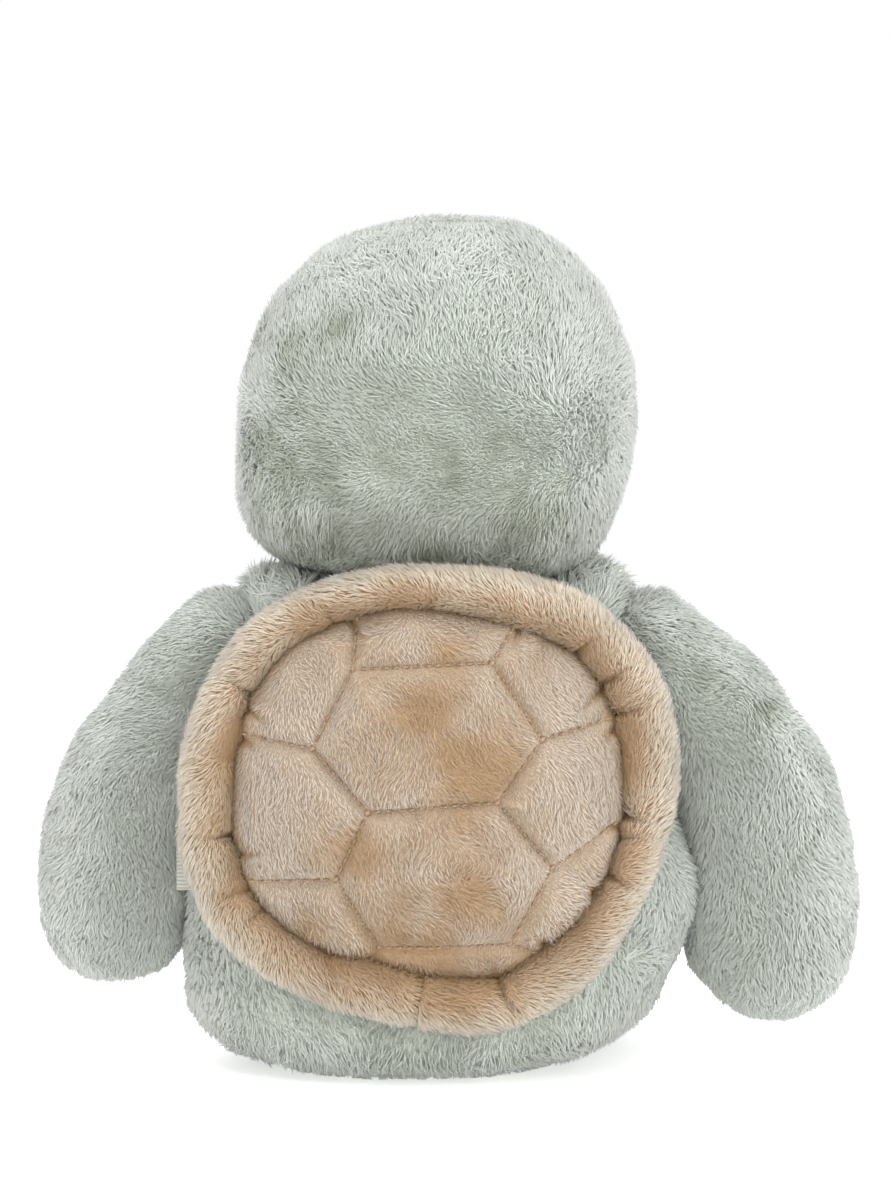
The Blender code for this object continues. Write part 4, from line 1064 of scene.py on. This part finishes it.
def build_rim():
    """The rolled rim, drawn in at its gathers and where its two ends are sewn together."""
    rim = piece("shell_rim_skin", rim_mesh(), "body", TAN_SKIN)

    def comb(place, normal):
        outward = plan_of(place).normalized()
        along = Vector((outward.z, 0, -outward.x))
        return ruffled(outward * 0.55 + along * 0.8, place, (0.016, 0.8), (0.007, 0.6))

    def across(place):
        """From 0 at the rim's inner side to 1 at its outer side."""
        plan = plan_of(place)
        inside = outline(bearing(plan), RIM_INSIDE)
        outside = outline(bearing(plan), RIM_OUTSIDE)
        return (math.hypot(plan.x, plan.z) - inside) / (outside - inside)

    def creased(place):
        angle = bearing(plan_of(place))
        crease = max(min(1.0, depth) * hill(turned_by(angle, at), 1.3)
                     for at, depth in CREASES.items())
        return crease * clamp(1.5 - 2 * across(place))

    def tint(place, normal):
        """Painted shade on its inner side, low down and in its creases, over a mottled tone."""
        mottle = noise.noise(place * 50) * 0.5 + noise.noise(place * 120) * 0.35
        # Painted shade low down on the rim
        low = 0.25 * smooth((SHELL_CENTRE.z - 0.040 - place.z) / 0.020)
        # Painted shade: darkest at the inner side, fading out across the rim, and in the creases;
        # the mottle is the pile's own tone
        return clamp(1.15 + low - 1.6 * across(place) + mottle + creased(place) * 0.5)

    def cover(place, normal):
        return 0.25 if normal.y < -0.6 else 1.0

    def pile(place, normal):
        return (0.55 + 0.65 * clamp(across(place))) * (1 - 0.6 * creased(place))

    groom(rim, comb, cover, pile, tint)
    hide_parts("shell_rim_cover", "shell_rim_stuffing")
    grow(rim, "body", TAN_PILE, "tan_plush", 80000, 0.0044, 0.00022, 20, bend=3.0,
         swirl=0.9, lock=0.003, coats=2)


def dress_hardware():
    """Gives the seams, the face, the backing and the label their finishes."""
    rules = (("_seam", SAGE_THREAD), ("mouth_stitch", BLACK_THREAD), ("nostril", BLACK_THREAD),
             ("eye_washer", WASHER), ("eye_left", EYE_GLOSS), ("eye_right", EYE_GLOSS),
             ("shell_backing", TAN_SKIN), ("side_label", LABEL_WEAVE))
    for name, node in nodes.items():
        for part, material in rules:
            if part in name and node.data.materials:
                node.material_slots[0].material = material


# Studio
AIR_LIGHT = 0.85
# How bright the floor is to the lamps' rays, and how much more to rays that are seen
FLOOR_LIGHT = 0.2
FLOOR_SEEN = 0.3
# The camera of the photograph: level with the shell but for a few degrees, with a long lens
CAMERA_AIM = Vector((-0.003, 0.045, 0.1536))
CAMERA_LIFT = math.radians(3)
CAMERA_DISTANCE = 1.067
LAMP_AIM = Vector((0, 0.03, 0.13))
# Name, place, size and power of each lamp
LAMPS = (("softbox_top", (0.1, 0.45, 1.5), 1.6, 13.0),
         ("softbox_left", (1.2, 1.0, 0.7), 1.1, 3.0),
         ("softbox_right", (-1.3, 0.9, 0.7), 1.1, 9.0),
         ("softbox_back", (-0.1, 1.8, 0.25), 0.7, 5.0),
         ("softbox_front", (0.0, -1.5, 0.9), 1.2, 9.0))


def seen_rays(tree):
    """1 for the rays by which the picture sees a thing, and 0 for those that light by it."""
    rays = add(tree, "ShaderNodeLightPath").outputs
    return sums(tree, "MAXIMUM", rays["Is Camera Ray"],
                sums(tree, "MAXIMUM", rays["Is Glossy Ray"], rays["Is Transmission Ray"]))


def studio():
    """A white floor, soft lamps and the camera of the photograph."""
    mesh = bmesh.new()
    bmesh.ops.create_grid(mesh, x_segments=1, y_segments=1, size=3)
    floor = piece("studio_floor", mesh)
    material, tree, shader = finish("studio_white", 0.9)
    shader.inputs["Base Color"].default_value = (0.92, 0.92, 0.92, 1)
    shader.inputs["Emission Color"].default_value = (1, 1, 1, 1)
    tree.links.new(sums(tree, "MULTIPLY_ADD", seen_rays(tree), FLOOR_SEEN, FLOOR_LIGHT),
                   shader.inputs["Emission Strength"])
    floor.data.materials.append(material)

    world = bpy.data.worlds.new("studio_air")
    scene.world = world
    world.use_nodes = True
    tree = world.node_tree
    strength = sums(tree, "MULTIPLY_ADD", seen_rays(tree), 1 - AIR_LIGHT, AIR_LIGHT)
    air = tree.nodes["Background"]
    air.inputs["Color"].default_value = (1, 1, 1, 1)
    tree.links.new(strength, air.inputs["Strength"])

    for name, place, size, power in LAMPS:
        light = bpy.data.lights.new(name, "AREA")
        light.shape = "DISK"
        light.size = size
        light.energy = power
        lamp = bpy.data.objects.new(name, light)
        lamp.location = place
        way = LAMP_AIM - Vector(place)
        lamp.rotation_euler = way.to_track_quat("-Z", "Y").to_euler()
        scene.collection.objects.link(lamp)

    camera = bpy.data.cameras.new("photo_view")
    camera.lens = 100
    camera.sensor_fit = "VERTICAL"
    camera.sensor_height = 36
    seat = bpy.data.objects.new("photo_view", camera)
    aside = Vector((0, math.cos(CAMERA_LIFT), math.sin(CAMERA_LIFT)))
    seat.location = CAMERA_AIM + aside * CAMERA_DISTANCE
    seat.rotation_euler = (CAMERA_AIM - seat.location).to_track_quat("-Z", "Y").to_euler()
    scene.collection.objects.link(seat)
    scene.camera = seat
    scene.view_settings.view_transform = "Standard"


build_head()
build_body()
for side, hand in (("left", 1), ("right", -1)):
    build_arm(side, hand)
    build_leg(side)
build_belly()
build_dome()
build_stitches()
build_rim()
dress_hardware()
studio()
